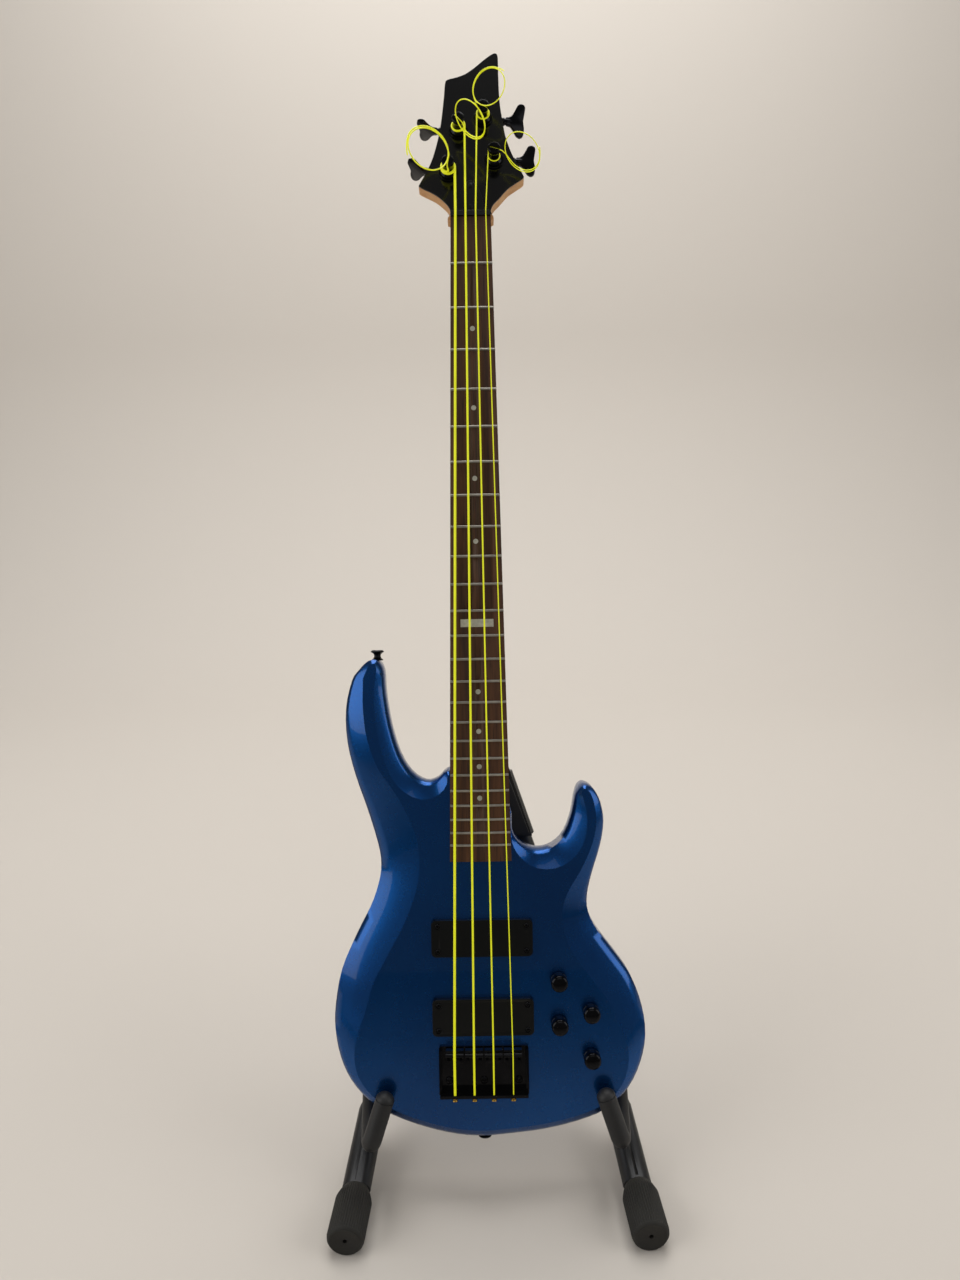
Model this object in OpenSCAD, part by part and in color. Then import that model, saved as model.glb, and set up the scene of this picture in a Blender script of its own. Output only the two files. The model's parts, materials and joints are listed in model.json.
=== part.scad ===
// A four-string bass guitar resting on a folding A-frame stand.
// +Z is up and the player's side faces -Y. The origin lies on the floor, in the middle of the stand's footprint.
// Guitar frame: x to the treble side, z up the neck from the body's lower end, y from the body's face inwards.

/* [Strings and scale] */
// Distance from the nut to the saddles
scale_len = 863.6; // [800:1:900]
// Height of the saddle line above the body's lower end
saddle_rise = 91.4; // [80:0.5:110]
// String spacing at the bridge
bridge_spacing = 20; // [18:0.1:20.6]
// String spacing at the nut
nut_spacing = 10.4; // [9:0.1:11]
// Diameter of the thickest string
string_e_d = 2.67; // [2.2:0.01:3]
// Diameter of the second string
string_a_d = 2.16; // [1.8:0.01:2.4]
// Diameter of the third string
string_d_d = 1.65; // [1.4:0.01:1.9]
// Diameter of the thinnest string
string_g_d = 1.14; // [0.9:0.01:1.3]

/* [Body] */
// Thickness of the body
body_t = 42; // [38:0.5:50]
// Depth of the steepest carving at the edge
carve_depth_max = 14; // [10:0.5:16]
// Radius of the rounded edge round the back
back_edge_r = 6; // [3:0.5:9]
// Thickness of the wood in front of the control cavity
cavity_skin = 6; // [4:0.5:8]

/* [Neck] */
// Width of the neck at the nut
nut_w = 41.5; // [40:0.5:45]
// Width of the fretboard at the last fret
heel_w = 63; // [60:0.5:66]
// Height of the fretboard's surface above the body's face
board_rise = 11; // [9:0.5:13]
// Thickness of the fretboard
board_t = 6; // [4.5:0.25:7]
// Length of the fretboard past the last fret
board_tail = 17; // [8:1:20]
// Radius of the fretboard's crown
board_r = 305; // [240:5:400]
// Number of frets
fret_count = 24; // [20:1:24]
// Width of a fret wire
fret_w = 2.7; // [2:0.1:3]
// Thickness of the neck wood behind the fretboard at the nut
neck_depth_nut = 14.5; // [12:0.5:17]
// Depth of the neck pocket below the body's face
pocket_depth = 17; // [14:0.5:20]

/* [Headstock] */
// Angle that the headstock is tilted back
head_tilt = 10; // [6:0.5:14]
// Thickness of the headstock with its veneer
head_t = 14; // [12:0.5:16]
// Thickness of the headstock's black veneer
veneer_t = 1.5; // [1:0.1:2.5]
// Radius of a tuner post in its bushing
post_r = 4.75; // [4:0.05:5.5]
// Height of a tuner post above the veneer
post_rise = 21; // [18:0.5:24]
// Length of a tuner key, tip to tip across its two ears
key_span = 35; // [28:1:37]
// Width of a tuner key along its shaft
key_w = 17; // [14:0.5:19]
// Thickness of a tuner key
key_t = 5; // [4:0.5:7]

/* [Electronics] */
// Length of a pickup across the strings
pickup_len = 105; // [95:1:112]
// Width of a pickup along the strings
pickup_w = 38; // [30:1:40]
// Height of the pickups above the body's face
pickup_rise = 6; // [3:0.5:8]
// Neck pickup's centre above the saddle line
pickup_neck_z = 118.3; // [112:0.5:130]
// Bridge pickup's centre above the saddle line
pickup_bridge_z = 36.3; // [33:0.5:42]
// Diameter of a control knob
knob_d = 17.5; // [14:0.5:19]
// Height of a control knob
knob_h = 18; // [14:0.5:20]
// Radius of the output jack's bore
jack_bore_r = 3.2; // [3.18:0.01:3.3]

/* [Bridge] */
// Width of the bridge plate
bridge_w = 92.8; // [90:0.2:100]
// Length of the bridge plate behind the saddle line
bridge_tail = 43; // [38:0.5:50]
// Length of the bridge plate in front of the saddle line
bridge_lead = 6; // [5:0.5:9]
// Thickness of the bridge plate
bridge_t = 3; // [2:0.25:4]
// Height of the strings above the body's face at the saddles
action_rise = 16; // [15.5:0.25:19]

/* [Stand] */
// Angle that the guitar leans back
lean = 16.7; // [14:0.1:19]
// Depth of the stand's footprint, front foot to rear foot
stand_depth = 437; // [430:1:460]
// Distance between the two front feet, centre to centre
foot_spacing = 302; // [290:1:320]
// Diameter of a front foot
foot_d = 38; // [34:1:42]
// Length of a front foot
foot_len = 60; // [50:1:70]
// Diameter of a side tube
tube_d = 22; // [18:0.5:24]
// Width of the moulded base legs
leg_w = 30; // [26:0.5:34]
// Height of the moulded base legs
leg_h = 20; // [16:0.5:24]
// Diameter of the foam on a hook
foam_d = 19.5; // [18:0.5:23]
// Length of a hook's upturned end
hook_rise = 46; // [40:1:52]
// Running clearance of a turning fit, on the radius
run_gap = 0.05; // [0.02:0.01:0.1]
// Gap between a soft pad and the piece that rests on it
rest_gap = 0.3; // [0.2:0.05:0.5]

/* [Hidden] */
$fn = 48;
EPS = 0.01;

// Where the guitar stands: its frame's origin on the stand, and the stand's shared lean
guitar_x = -11.4;
seat_y = -144.7;
seat_z = 71;

// Lengths along the neck
nut_len = 5;
saddle_z = saddle_rise;
nut_z = saddle_z + scale_len;
function fret_z(n) = saddle_z + scale_len * pow(2, -n / 12);
board_end_z = fret_z(fret_count) - board_tail;
function half_w(z) = heel_w / 2 + (nut_w - heel_w) / 2 * (z - fret_z(24)) / (nut_z - fret_z(24));

STRINGS = [0, 1, 2, 3];
string_d = [string_e_d, string_a_d, string_d_d, string_g_d];
function nut_x(i) = (i - 1.5) * nut_spacing;
function bridge_x(i) = (i - 1.5) * bridge_spacing;
nut_string_y = -board_rise - 1.9;

module in_lean() {
    translate([0, seat_y, seat_z]) rotate([-lean, 0, 0]) children();
}
module in_guitar() {
    translate([guitar_x, 0, 0]) in_lean() children();
}

// A closed smooth curve through control points, whose third value is carried along
function between(a, b, c, d, t) =
    0.5 * (2 * b + (c - a) * t + (2 * a - 5 * b + 4 * c - d) * t * t + (3 * b - a - 3 * c + d) * t * t * t);
function smooth_loop(points, steps) = [
    for (i = [0 : len(points) - 1], s = [0 : steps - 1])
        let (n = len(points))
        between(points[(i + n - 1) % n], points[i], points[(i + 1) % n], points[(i + 2) % n], s / steps)
];
function flat(points) = [for (p = points) [p.x, p.y]];

// Faces that join equal rings of points into one closed loft
function loft_faces(rings, n) = concat(
    [[for (i = [0 : n - 1]) i]],
    [for (r = [0 : rings - 2], i = [0 : n - 1])
        let (a = r * n + i, b = r * n + (i + 1) % n)
        [a, a + n, b]],
    [for (r = [0 : rings - 2], i = [0 : n - 1])
        let (a = r * n + i, b = r * n + (i + 1) % n)
        [b, a + n, b + n]],
    [[for (i = [n - 1 : -1 : 0]) (rings - 1) * n + i]]
);

// A straight bar between two points, built along its own z axis
module along(from, to) {
    v = to - from;
    translate(from) rotate([0, acos(v.z / norm(v)), atan2(v.y, v.x)]) children();
}
module rod(from, to, r) {
    along(from, to) cylinder(h = norm(to - from), r = r);
}
module round_rect(w, h, r) {
    square([w - 2 * r, h], center = true);
    square([w, h - 2 * r], center = true);
    for (i = [-1, 1], j = [-1, 1]) translate([i * (w / 2 - r), j * (h / 2 - r)]) circle(r);
}
// Stands a flat shape out of the body's face, from depth y towards the player
module from_face(y, t) {
    translate([0, y, 0]) rotate([90, 0, 0]) linear_extrude(t) children();
}
// Points z out of the face at a place on the body
module face_axis(x, z, y = 0) {
    translate([x, y, z]) rotate([90, 0, 0]) children();
}

// ---------------------------------------------------------------- body
// Outline of the body with the width of its carved edge at each point
BODY_EDGE = [
    [-103.5, 497, 4], [-109, 499.6, 4], [-116, 497.4, 5], [-124, 489.5, 8], [-132, 478, 13],
    [-139, 448, 19], [-138, 413, 22], [-130, 378, 26],
    [-119, 344, 36], [-108, 306, 42], [-105, 284, 41], [-108, 264, 40], [-117, 239, 39], [-133, 208, 38],
    [-148, 174, 36], [-155, 138, 33], [-155.5, 112, 26], [-150, 84, 16], [-139, 60, 10], [-121, 39, 8],
    [-96, 23, 8], [-62, 10, 8], [-28, 2, 8], [0, 0, 8], [28, 2, 8], [62, 6, 8], [97, 14, 8], [127, 26, 8],
    [150, 47, 9], [164, 74, 14], [170, 102, 23], [167, 131, 30], [157, 160, 33], [141, 184, 34],
    [122, 210, 33], [112, 231, 29], [111, 250, 22], [116, 273, 13], [125, 302, 9], [129, 327, 8],
    [126, 347, 7], [120.5, 359, 5.5], [115, 364, 4.5], [108.8, 365.4, 3.5], [103.6, 361, 3.5], [100.3, 352, 8],
    [97, 334, 15], [89, 313, 20], [76, 300, 20],
    [60, 296, 16], [46, 301, 10], [37, 310, 5], [33, 322, 2], [31, 345, 2], [10, 368, 2], [-18, 380, 2],
    [-34, 382, 4], [-44, 373, 12], [-57, 370, 17], [-72, 380, 18], [-84, 400, 16], [-93, 431, 14],
    [-98, 464, 11], [-99.3, 487, 6.5]
];
BODY_STEPS = 3;
body_ring = smooth_loop(BODY_EDGE, BODY_STEPS);
body_n = len(body_ring);
function edge_normal(i) =
    let (a = body_ring[(i + body_n - 1) % body_n], b = body_ring[(i + 1) % body_n], t = [b.x - a.x, b.y - a.y])
    [-t.y, t.x] / norm(t);
edge_normals = [for (i = [0 : body_n - 1]) edge_normal(i)];
function carve_depth(w) = min(carve_depth_max, 4 + w * 0.26);
// A point beside the outline: u inwards from the edge, y deep
function beside(i, u, y) = [body_ring[i].x + edge_normals[i].x * u, y, body_ring[i].y + edge_normals[i].y * u];
// Cross-section of the body's edge: from the crease on the face, down the carving and round to the back
function edge_section(i) =
    let (w = body_ring[i].z, d = carve_depth(w), r = min(back_edge_r, w), y = body_t - r)
    [
        beside(i, w, 0), beside(i, w * 0.62, d * 0.32), beside(i, w * 0.25, d * 0.7), beside(i, 0, d), beside(i, 0, y),
        beside(i, r * (1 - cos(30)), y + r * sin(30)), beside(i, r * (1 - cos(60)), y + r * sin(60)), beside(i, r, body_t)
    ];
SECTION_POINTS = 8;
// Triangles that fill a flat loop which has hollows: corners are clipped off it one after another
function turn(a, b, c) = (b.x - a.x) * (c.z - a.z) - (b.z - a.z) * (c.x - a.x);
function in_corner(p, a, b, c) = turn(a, b, p) >= 0 && turn(b, c, p) >= 0 && turn(c, a, p) >= 0;
function clips(loop, left, k) =
    let (n = len(left), a = loop[left[(k + n - 1) % n]], b = loop[left[k % n]], c = loop[left[(k + 1) % n]])
    turn(a, b, c) > 0 && len([for (q = left) if (loop[q] != a && loop[q] != b && loop[q] != c && in_corner(loop[q], a, b, c)) q]) == 0;
function next_clip(loop, left, k) = clips(loop, left, k) ? k % len(left) : next_clip(loop, left, k + 1);
function filled(loop, left, k = 0, out = []) =
    len(left) == 3 ? concat(out, [left]) :
    let (n = len(left), e = next_clip(loop, left, k))
    filled(
        loop, [for (q = [0 : n - 1]) if (q != e) left[q]], e + 1,
        concat(out, [[left[(e + n - 1) % n], left[e], left[(e + 1) % n]]])
    );
module body_blank() {
    m = SECTION_POINTS;
    sections = [for (i = [0 : body_n - 1]) edge_section(i)];
    ring = [for (i = [0 : body_n - 1]) i];
    front = filled([for (s = sections) s[0]], ring);
    back = filled([for (s = sections) s[m - 1]], ring);
    polyhedron(
        points = [for (s = sections) each s],
        faces = concat(
            [for (t = front) [t[2] * m, t[1] * m, t[0] * m]],
            [for (t = back) [t[0] * m + m - 1, t[1] * m + m - 1, t[2] * m + m - 1]],
            [
                for (i = ring, j = [0 : m - 2])
                    let (a = i * m + j, c = (i + 1) % body_n * m + j)
                    each [[a, c, a + 1], [a + 1, c, c + 1]]
            ]
        ),
        convexity = 10
    );
}

fit_gap = 0.1;
pickup_depth = 20;
pickup_corner_r = 5;
KNOB_PLACES = [[79, 72.5], [112, 39.5], [79, 27.5], [112, -7.5]];
knob_y = [for (k = KNOB_PLACES) saddle_z + k.y];
pot_r = 11.5;
pot_bush_r = 4.5;
cavity_margin = 17;
cover_margin = 22;
cover_t = 2.5;
module control_outline(r) {
    hull() for (i = [0 : 3]) translate([KNOB_PLACES[i].x, knob_y[i]]) circle(r, $fn = 32);
}
jack_x = 166.5;
jack_y = 24;
jack_z = 106;
jack_barrel_r = 6;
jack_flange_r = 9.5;
jack_flange_t = 2;
jack_len = 27;
module jack_axis(x) {
    translate([x, jack_y, jack_z]) rotate([0, 90, 0]) children();
}

strap_seat_r = 7.5;
// Place and turn of each strap button: horn tip and lower end
STRAP_PLACES = [[[-106.5, body_t / 2 + 1, 498.5], 0], [[0, body_t / 2 + 1, 2], 180]];
module at_strap(i) {
    translate(STRAP_PLACES[i][0]) rotate([0, STRAP_PLACES[i][1], 0]) children();
}

NECK_SCREW_PLACES = [[-17, 303], [17, 303], [-17, 340], [15, 338]];
neck_screw_r = 2.5;
ferrule_r = 7;
ferrule_t = 3;

module neck_heel_shape(gap) {
    top_z = board_end_z + 110;
    polygon([
        [-half_w(board_end_z) - gap, board_end_z - gap], [half_w(board_end_z) + gap, board_end_z - gap],
        [half_w(top_z) + gap, top_z], [-half_w(top_z) - gap, top_z]
    ]);
}

module body() in_guitar() color("midnightblue") difference() {
    body_blank();
    from_face(pocket_depth, pocket_depth + 1) neck_heel_shape(fit_gap);
    for (z = [pickup_neck_z, pickup_bridge_z])
        translate([0, 0, saddle_z + z])
            from_face(pickup_depth, pickup_depth + 1)
                round_rect(pickup_len + 2 * fit_gap, pickup_w + 2 * fit_gap, pickup_corner_r + fit_gap);
    from_face(body_t + 1, body_t + 1 - cavity_skin) control_outline(cavity_margin);
    from_face(body_t + 1, cover_t + 1) control_outline(cover_margin + fit_gap);
    for (i = [0 : 3]) face_axis(KNOB_PLACES[i].x, knob_y[i], cavity_skin + 1)
        cylinder(h = cavity_skin + 2, r = pot_bush_r + fit_gap);
    jack_axis(jack_x) cylinder(h = 10, r = jack_flange_r + fit_gap);
    jack_axis(jack_x - 45) cylinder(h = 46, r = jack_barrel_r + fit_gap);
    for (i = [0, 1]) at_strap(i) cylinder(h = 20, r = strap_seat_r + fit_gap);
    for (i = [0, 1]) at_strap(i) translate([0, 0, -20]) cylinder(h = 21, r = strap_screw_r + EPS);
    for (p = NECK_SCREW_PLACES) face_axis(p.x, p.y, body_t + 1) {
        cylinder(h = body_t, r = neck_screw_r + fit_gap);
        cylinder(h = ferrule_t + 1, r = ferrule_r + fit_gap);
    }
    for (p = BRIDGE_SCREW_PLACES) face_axis(p.x, saddle_z + p.y, 17) cylinder(h = 18, r = bridge_screw_r + EPS);
    for (p = PICKUP_SCREW_PLACES) face_axis(p.x, p.y, pickup_depth + 8) cylinder(h = 12, r = pickup_screw_r + EPS);
    for (p = COVER_SCREW_PLACES) face_axis(p.x, p.y, body_t) cylinder(h = cover_t + 9, r = cover_screw_r + EPS);
}

// ---------------------------------------------------------------- neck
NECK_SIDES = 18;
neck_depth_heel = pocket_depth + board_rise - board_t;
heel_z = board_end_z + 82;
HEEL_INSET = 0.05;
// Sections of the shaft: height, depth behind the fretboard and squareness
NECK_SECTIONS = [
    [heel_z - 4, neck_depth_heel, 9], [heel_z + 8, neck_depth_heel - 1, 6], [heel_z + 20, neck_depth_heel - 4, 3.6],
    [heel_z + 38, neck_depth_nut + 2.6, 2.6], [heel_z + 120, neck_depth_nut + 2.2, 2.3],
    [heel_z + 300, neck_depth_nut + 1.3, 2.2], [nut_z - 60, neck_depth_nut, 2.2], [nut_z + nut_len, neck_depth_nut, 2.2]
];
function signed_pow(v, e) = sign(v) * pow(abs(v), e);
function neck_section(s) = [
    for (i = [0 : NECK_SIDES - 1])
        let (a = 180 * i / (NECK_SIDES - 1))
        [half_w(s[0]) * signed_pow(cos(a), 2 / s[2]), board_t - board_rise + s[1] * pow(sin(a), 2 / s[2]), s[0]]
];
module neck_shaft() {
    polyhedron(
        points = [for (s = NECK_SECTIONS) each neck_section(s)],
        faces = loft_faces(len(NECK_SECTIONS), NECK_SIDES),
        convexity = 2
    );
}

// Headstock frame: x across, z up the headstock from the nut, y behind the veneer's face
head_face_y = board_t - board_rise + 0.5;
module on_head() {
    translate([0, head_face_y, nut_z + nut_len]) rotate([-head_tilt, 0, 0]) children();
}
function head_point(p) = [
    p.x,
    head_face_y + p.y * cos(head_tilt) + p.z * sin(head_tilt),
    nut_z + nut_len - p.y * sin(head_tilt) + p.z * cos(head_tilt)
];
HEAD_EDGE = [
    [21, -6], [21, 3], [23.5, 10], [30, 17.5], [39, 28], [47.5, 34.5], [55.2, 40.2], [55.4, 44], [47.3, 61.4],
    [42.2, 74.3], [37.6, 90.8], [35.2, 107.4], [32.8, 126.5], [31.8, 150.4], [31.7, 178], [31.2, 186],
    [29, 188.8], [25, 187.6], [16, 180.6], [7, 172.4], [-3.7, 164.2], [-14, 160.2], [-22, 158], [-25, 154],
    [-26.3, 139.4], [-27.9, 122.8], [-30.2, 103.8], [-33.1, 87.4], [-38.5, 66.4], [-44.9, 50.2], [-52.4, 35.6],
    [-52.2, 31.6], [-37, 23], [-27, 14], [-22, 7], [-21, 1], [-21, -6]
];
HEAD_STEPS = 4;
module head_outline() {
    polygon(flat(smooth_loop([for (p = HEAD_EDGE) [p.x, p.y, 0]], HEAD_STEPS)));
}
truss_pocket_w = 9;
truss_pocket_len = 26;
truss_pocket_depth = 9;
bush_r = 7;
module head_holes() {
    for (t = TUNERS) face_axis(t.x, t.y, head_t + 1) cylinder(h = head_t + 2, r = bush_r);
    translate([-truss_pocket_w / 2, -EPS, 4]) cube([truss_pocket_w, truss_pocket_depth, truss_pocket_len]);
}
truss_r = 3;
truss_y = board_t - board_rise + 5.8;
truss_start_z = board_end_z + 15;
module neck() in_guitar() color("burlywood") difference() {
    union() {
        neck_shaft();
        from_face(pocket_depth, neck_depth_heel - HEEL_INSET) intersection() {
            neck_heel_shape(-HEEL_INSET);
            translate([-heel_w, board_end_z - 1]) square([2 * heel_w, heel_z - board_end_z + 1]);
        }
        on_head() from_face(head_t, head_t - veneer_t) head_outline();
    }
    on_head() head_holes();
    translate([-truss_r - fit_gap, board_t - board_rise - 1, truss_start_z - fit_gap])
        cube([2 * (truss_r + fit_gap), truss_y + truss_r + fit_gap - board_t + board_rise + 1, nut_z - truss_start_z]);
    rod([0, truss_y, nut_z - 1], [0, truss_y, nut_z + nut_len + 30], truss_r + fit_gap);
    for (p = NECK_SCREW_PLACES) face_axis(p.x, p.y, pocket_depth + 1) cylinder(h = 15, r = neck_screw_r + EPS);
}
module headstock_veneer() in_guitar() color([0.05, 0.05, 0.06]) on_head() difference() {
    from_face(veneer_t, veneer_t) intersection() {
        head_outline();
        translate([-80, 0.3]) square([160, 200]);
    }
    head_holes();
}
module board_shape() {
    polygon([
        [-half_w(board_end_z), board_end_z], [half_w(board_end_z), board_end_z],
        [half_w(nut_z), nut_z], [-half_w(nut_z), nut_z]
    ]);
}
module board_crown(r) {
    translate([0, board_r - board_rise, 0]) cylinder(h = nut_z + 10, r = r, $fn = 360);
}
dot_r = 2.6;
inlay_depth = 2;
DOT_FRETS = [3, 5, 7, 9, 15, 17, 19, 21];
block_w = 34;
block_h = 8;
function fret_gap_z(n) = (fret_z(n) + fret_z(n - 1)) / 2;
module inlays(gap) {
    for (n = DOT_FRETS) face_axis(0, fret_gap_z(n), inlay_depth - board_rise)
        cylinder(h = inlay_depth + 1, r = dot_r + gap);
    translate([0, 0, fret_gap_z(12)]) from_face(inlay_depth - board_rise, inlay_depth + 1)
        square([block_w + 2 * gap, block_h + 2 * gap], center = true);
}
module fretboard() in_guitar() color("saddlebrown") difference() {
    intersection() {
        from_face(board_t - board_rise, board_t + 1) board_shape();
        board_crown(board_r);
    }
    inlays(0.02);
}
module fret_markers() in_guitar() color("ivory") intersection() {
    inlays(0);
    board_crown(board_r);
}
fret_h = 1.2;
module fret_wire(z) {
    span = 2 * asin((half_w(z) - 0.4) / board_r);
    translate([0, board_r - board_rise, z]) rotate([0, 0, -90 - span / 2]) rotate_extrude(angle = span, $fn = 360)
        translate([board_r, 0]) polygon([
            [0, -fret_w / 2], [fret_h * 0.6, -fret_w * 0.4], [fret_h, -fret_w * 0.15],
            [fret_h, fret_w * 0.15], [fret_h * 0.6, fret_w * 0.4], [0, fret_w / 2]
        ]);
}
module frets() in_guitar() color("silver") {
    for (n = [1 : fret_count]) fret_wire(fret_z(n));
}
nut_top_y = nut_string_y - 0.9;
module nut() in_guitar() color([0.08, 0.08, 0.08]) difference() {
    from_face(board_t - board_rise, board_t - board_rise - nut_top_y)
        translate([0, nut_z + nut_len / 2]) square([nut_w, nut_len - 2 * EPS], center = true);
    for (i = STRINGS) {
        translate([nut_x(i), nut_string_y, nut_z - 1]) cylinder(h = nut_len + 2, r = string_d[i] / 2 + fit_gap);
        translate([nut_x(i) - string_d[i] / 2 - fit_gap, nut_string_y - 5, nut_z - 1])
            cube([string_d[i] + 2 * fit_gap, 5, nut_len + 2]);
    }
}
module truss_rod() in_guitar() color("dimgray") {
    rod([0, truss_y, truss_start_z], [0, truss_y, nut_z + nut_len + 10], truss_r);
}
cover_plate_t = 2;
TRUSS_COVER_EDGE = [[-12, 3], [12, 3], [13, 14], [9, 27], [3, 36], [0, 37.5], [-3, 36], [-9, 27], [-13, 14]];
module truss_rod_cover() in_guitar() color([0.06, 0.06, 0.06]) on_head() {
    from_face(0, cover_plate_t)
        polygon(flat(smooth_loop([for (p = TRUSS_COVER_EDGE) [p.x, p.y, 0]], 4)));
    for (z = [7, 31]) face_axis(0, z, -cover_plate_t) cylinder(h = 0.8, r = 1.8);
}
module neck_ferrules() in_guitar() color([0.1, 0.1, 0.1]) {
    for (p = NECK_SCREW_PLACES) face_axis(p.x, p.y, body_t) difference() {
        cylinder(h = ferrule_t, r = ferrule_r);
        translate([0, 0, -1]) cylinder(h = ferrule_t + 2, r = neck_screw_r + fit_gap);
        translate([0, 0, -EPS]) cylinder(h = 2, r1 = 4.6, r2 = neck_screw_r);
    }
}
module neck_screws() in_guitar() color([0.15, 0.15, 0.15]) {
    for (p = NECK_SCREW_PLACES) face_axis(p.x, p.y, body_t - 0.2) {
        cylinder(h = 37, r = neck_screw_r);
        cylinder(h = 1.6, r1 = 4.3, r2 = neck_screw_r);
    }
}

// ---------------------------------------------------------------- pickups and controls
pickup_screw_r = 1.5;
pickup_head_r = 3.2;
function pickup_corners(z) = [
    for (i = [-1, 1], j = [-1, 1])
        [i * (pickup_len / 2 - 6.5), saddle_z + z + j * (pickup_w / 2 - 6)]
];
PICKUP_SCREW_PLACES = concat(pickup_corners(pickup_neck_z), pickup_corners(pickup_bridge_z));
module pickup(z) color([0.07, 0.07, 0.08]) difference() {
    translate([0, 0, saddle_z + z])
        from_face(pickup_depth, pickup_depth + pickup_rise) round_rect(pickup_len, pickup_w, pickup_corner_r);
    for (p = pickup_corners(z)) face_axis(p.x, p.y, pickup_depth + 1) {
        cylinder(h = pickup_depth + pickup_rise + 2, r = pickup_screw_r + fit_gap);
        translate([0, 0, pickup_depth + pickup_rise - 0.5]) cylinder(h = 3, r = pickup_head_r + fit_gap);
    }
}
module pickup_neck() in_guitar() pickup(pickup_neck_z);
module pickup_bridge() in_guitar() pickup(pickup_bridge_z);
module pickup_screws() in_guitar() color([0.2, 0.2, 0.2]) {
    for (p = PICKUP_SCREW_PLACES) face_axis(p.x, p.y, pickup_depth + 7) {
        cylinder(h = pickup_depth + pickup_rise + 6.5, r = pickup_screw_r);
        translate([0, 0, pickup_depth + pickup_rise + 5.6]) cylinder(h = 1.4, r = pickup_head_r);
    }
}
pot_nut_t = 2.2;
knob_lift = 2.6;
shaft_r = 3;
shaft_in = 12;
module potentiometer() difference() {
    union() {
        translate([0, 0, -cavity_skin - 11]) cylinder(h = 11, r = pot_r);
        translate([0, 0, -cavity_skin - EPS]) cylinder(h = cavity_skin + pot_nut_t, r = pot_bush_r);
        cylinder(h = pot_nut_t, r = 6.8, $fn = 6);
    }
    translate([0, 0, -shaft_in - 1]) cylinder(h = shaft_in + 10, r = shaft_r + run_gap);
}
module potentiometers() in_guitar() color("gray") {
    for (i = [0 : 3]) face_axis(KNOB_PLACES[i].x, knob_y[i]) potentiometer();
}
module knob(i) in_guitar() color([0.09, 0.09, 0.1]) face_axis(KNOB_PLACES[i].x, knob_y[i]) {
    translate([0, 0, -shaft_in]) cylinder(h = shaft_in + knob_lift + 2, r = shaft_r);
    translate([0, 0, knob_lift]) rotate_extrude() polygon([
        [0, 0], [knob_d / 2 - 0.5, 0], [knob_d / 2, 0.8], [knob_d / 2, knob_h - 3.4],
        [knob_d / 2 - 0.6, knob_h - 1.6], [knob_d / 2 - 2.2, knob_h - 0.4], [knob_d / 2 - 4, knob_h], [0, knob_h]
    ]);
}
module knob_1() knob(0);
module knob_2() knob(1);
module knob_3() knob(2);
module knob_4() knob(3);
cover_screw_r = 1.3;
COVER_SCREW_PLACES = [
    [KNOB_PLACES[0].x - 13, knob_y[0] + 13], [KNOB_PLACES[1].x + 16.5, knob_y[1] + 10],
    [KNOB_PLACES[3].x + 13, knob_y[3] - 14], [KNOB_PLACES[2].x - 16, knob_y[2] - 11]
];
module control_cover() in_guitar() color([0.08, 0.08, 0.08]) difference() {
    from_face(body_t, cover_t) control_outline(cover_margin);
    for (p = COVER_SCREW_PLACES) face_axis(p.x, p.y, body_t + 1) {
        cylinder(h = cover_t + 2, r = cover_screw_r + fit_gap);
        cylinder(h = 1.9, r = 2.9);
    }
}
module cover_screws() in_guitar() color([0.2, 0.2, 0.2]) {
    for (p = COVER_SCREW_PLACES) face_axis(p.x, p.y, body_t - 0.1) {
        cylinder(h = 11, r = cover_screw_r);
        cylinder(h = 0.8, r = 2.7);
    }
}
module output_jack() in_guitar() color([0.12, 0.12, 0.12]) difference() {
    union() {
        jack_axis(jack_x) cylinder(h = jack_flange_t, r = jack_flange_r);
        jack_axis(jack_x - jack_len) cylinder(h = jack_len + EPS, r = jack_barrel_r);
    }
    jack_axis(jack_x - jack_len - 1) cylinder(h = jack_len + 10, r = jack_bore_r);
}
strap_screw_r = 2;
module strap_buttons() in_guitar() color([0.1, 0.1, 0.1]) {
    for (i = [0, 1]) at_strap(i) {
        rotate_extrude() polygon([
            [0, 0], [strap_seat_r - 1.5, 0], [strap_seat_r - 1.5, 1.2], [4.2, 2.4], [3.5, 4.4], [3.8, 6.6], [5.6, 8],
            [7, 8.8], [7, 9.9], [5.4, 11], [0, 11]
        ]);
        translate([0, 0, -19]) cylinder(h = 20, r = strap_screw_r);
    }
}

// ---------------------------------------------------------------- bridge
saddle_w = 18.4;
saddle_len = 15;
saddle_front = 5;
wall_t = 3;
anchor_y = 3 - action_rise;
wall_h = action_rise - 0.5;
screw_line_y = -7;
intonation_r = 1.5;
bridge_screw_r = 2;
BRIDGE_SCREW_PLACES = [[-36, 14 - bridge_tail], [0, 14 - bridge_tail], [36, 14 - bridge_tail]];
module bridge_plate() in_guitar() color([0.08, 0.08, 0.09]) difference() {
    union() {
        translate([0, 0, saddle_z + (bridge_lead - bridge_tail) / 2])
            from_face(0, bridge_t) round_rect(bridge_w, bridge_lead + bridge_tail, 3);
        translate([-bridge_w / 2 + 1, -wall_h, saddle_z - bridge_tail]) cube([bridge_w - 2, wall_h - 1, wall_t]);
        for (s = [-1, 1])
            translate([s * (bridge_w / 2 - 1.5) - 1.5, -8, saddle_z - bridge_tail + 1])
                cube([3, 7, bridge_tail + bridge_lead - 4]);
    }
    for (i = STRINGS) {
        translate([bridge_x(i), anchor_y, saddle_z - bridge_tail - 1]) cylinder(h = 6, r = string_d[i] / 2 + rest_gap);
        translate([bridge_x(i), screw_line_y, saddle_z - bridge_tail - 1]) cylinder(h = 6, r = intonation_r + run_gap);
    }
    for (p = BRIDGE_SCREW_PLACES) face_axis(p.x, saddle_z + p.y, 1) cylinder(h = 9, r = bridge_screw_r + fit_gap);
}
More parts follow.
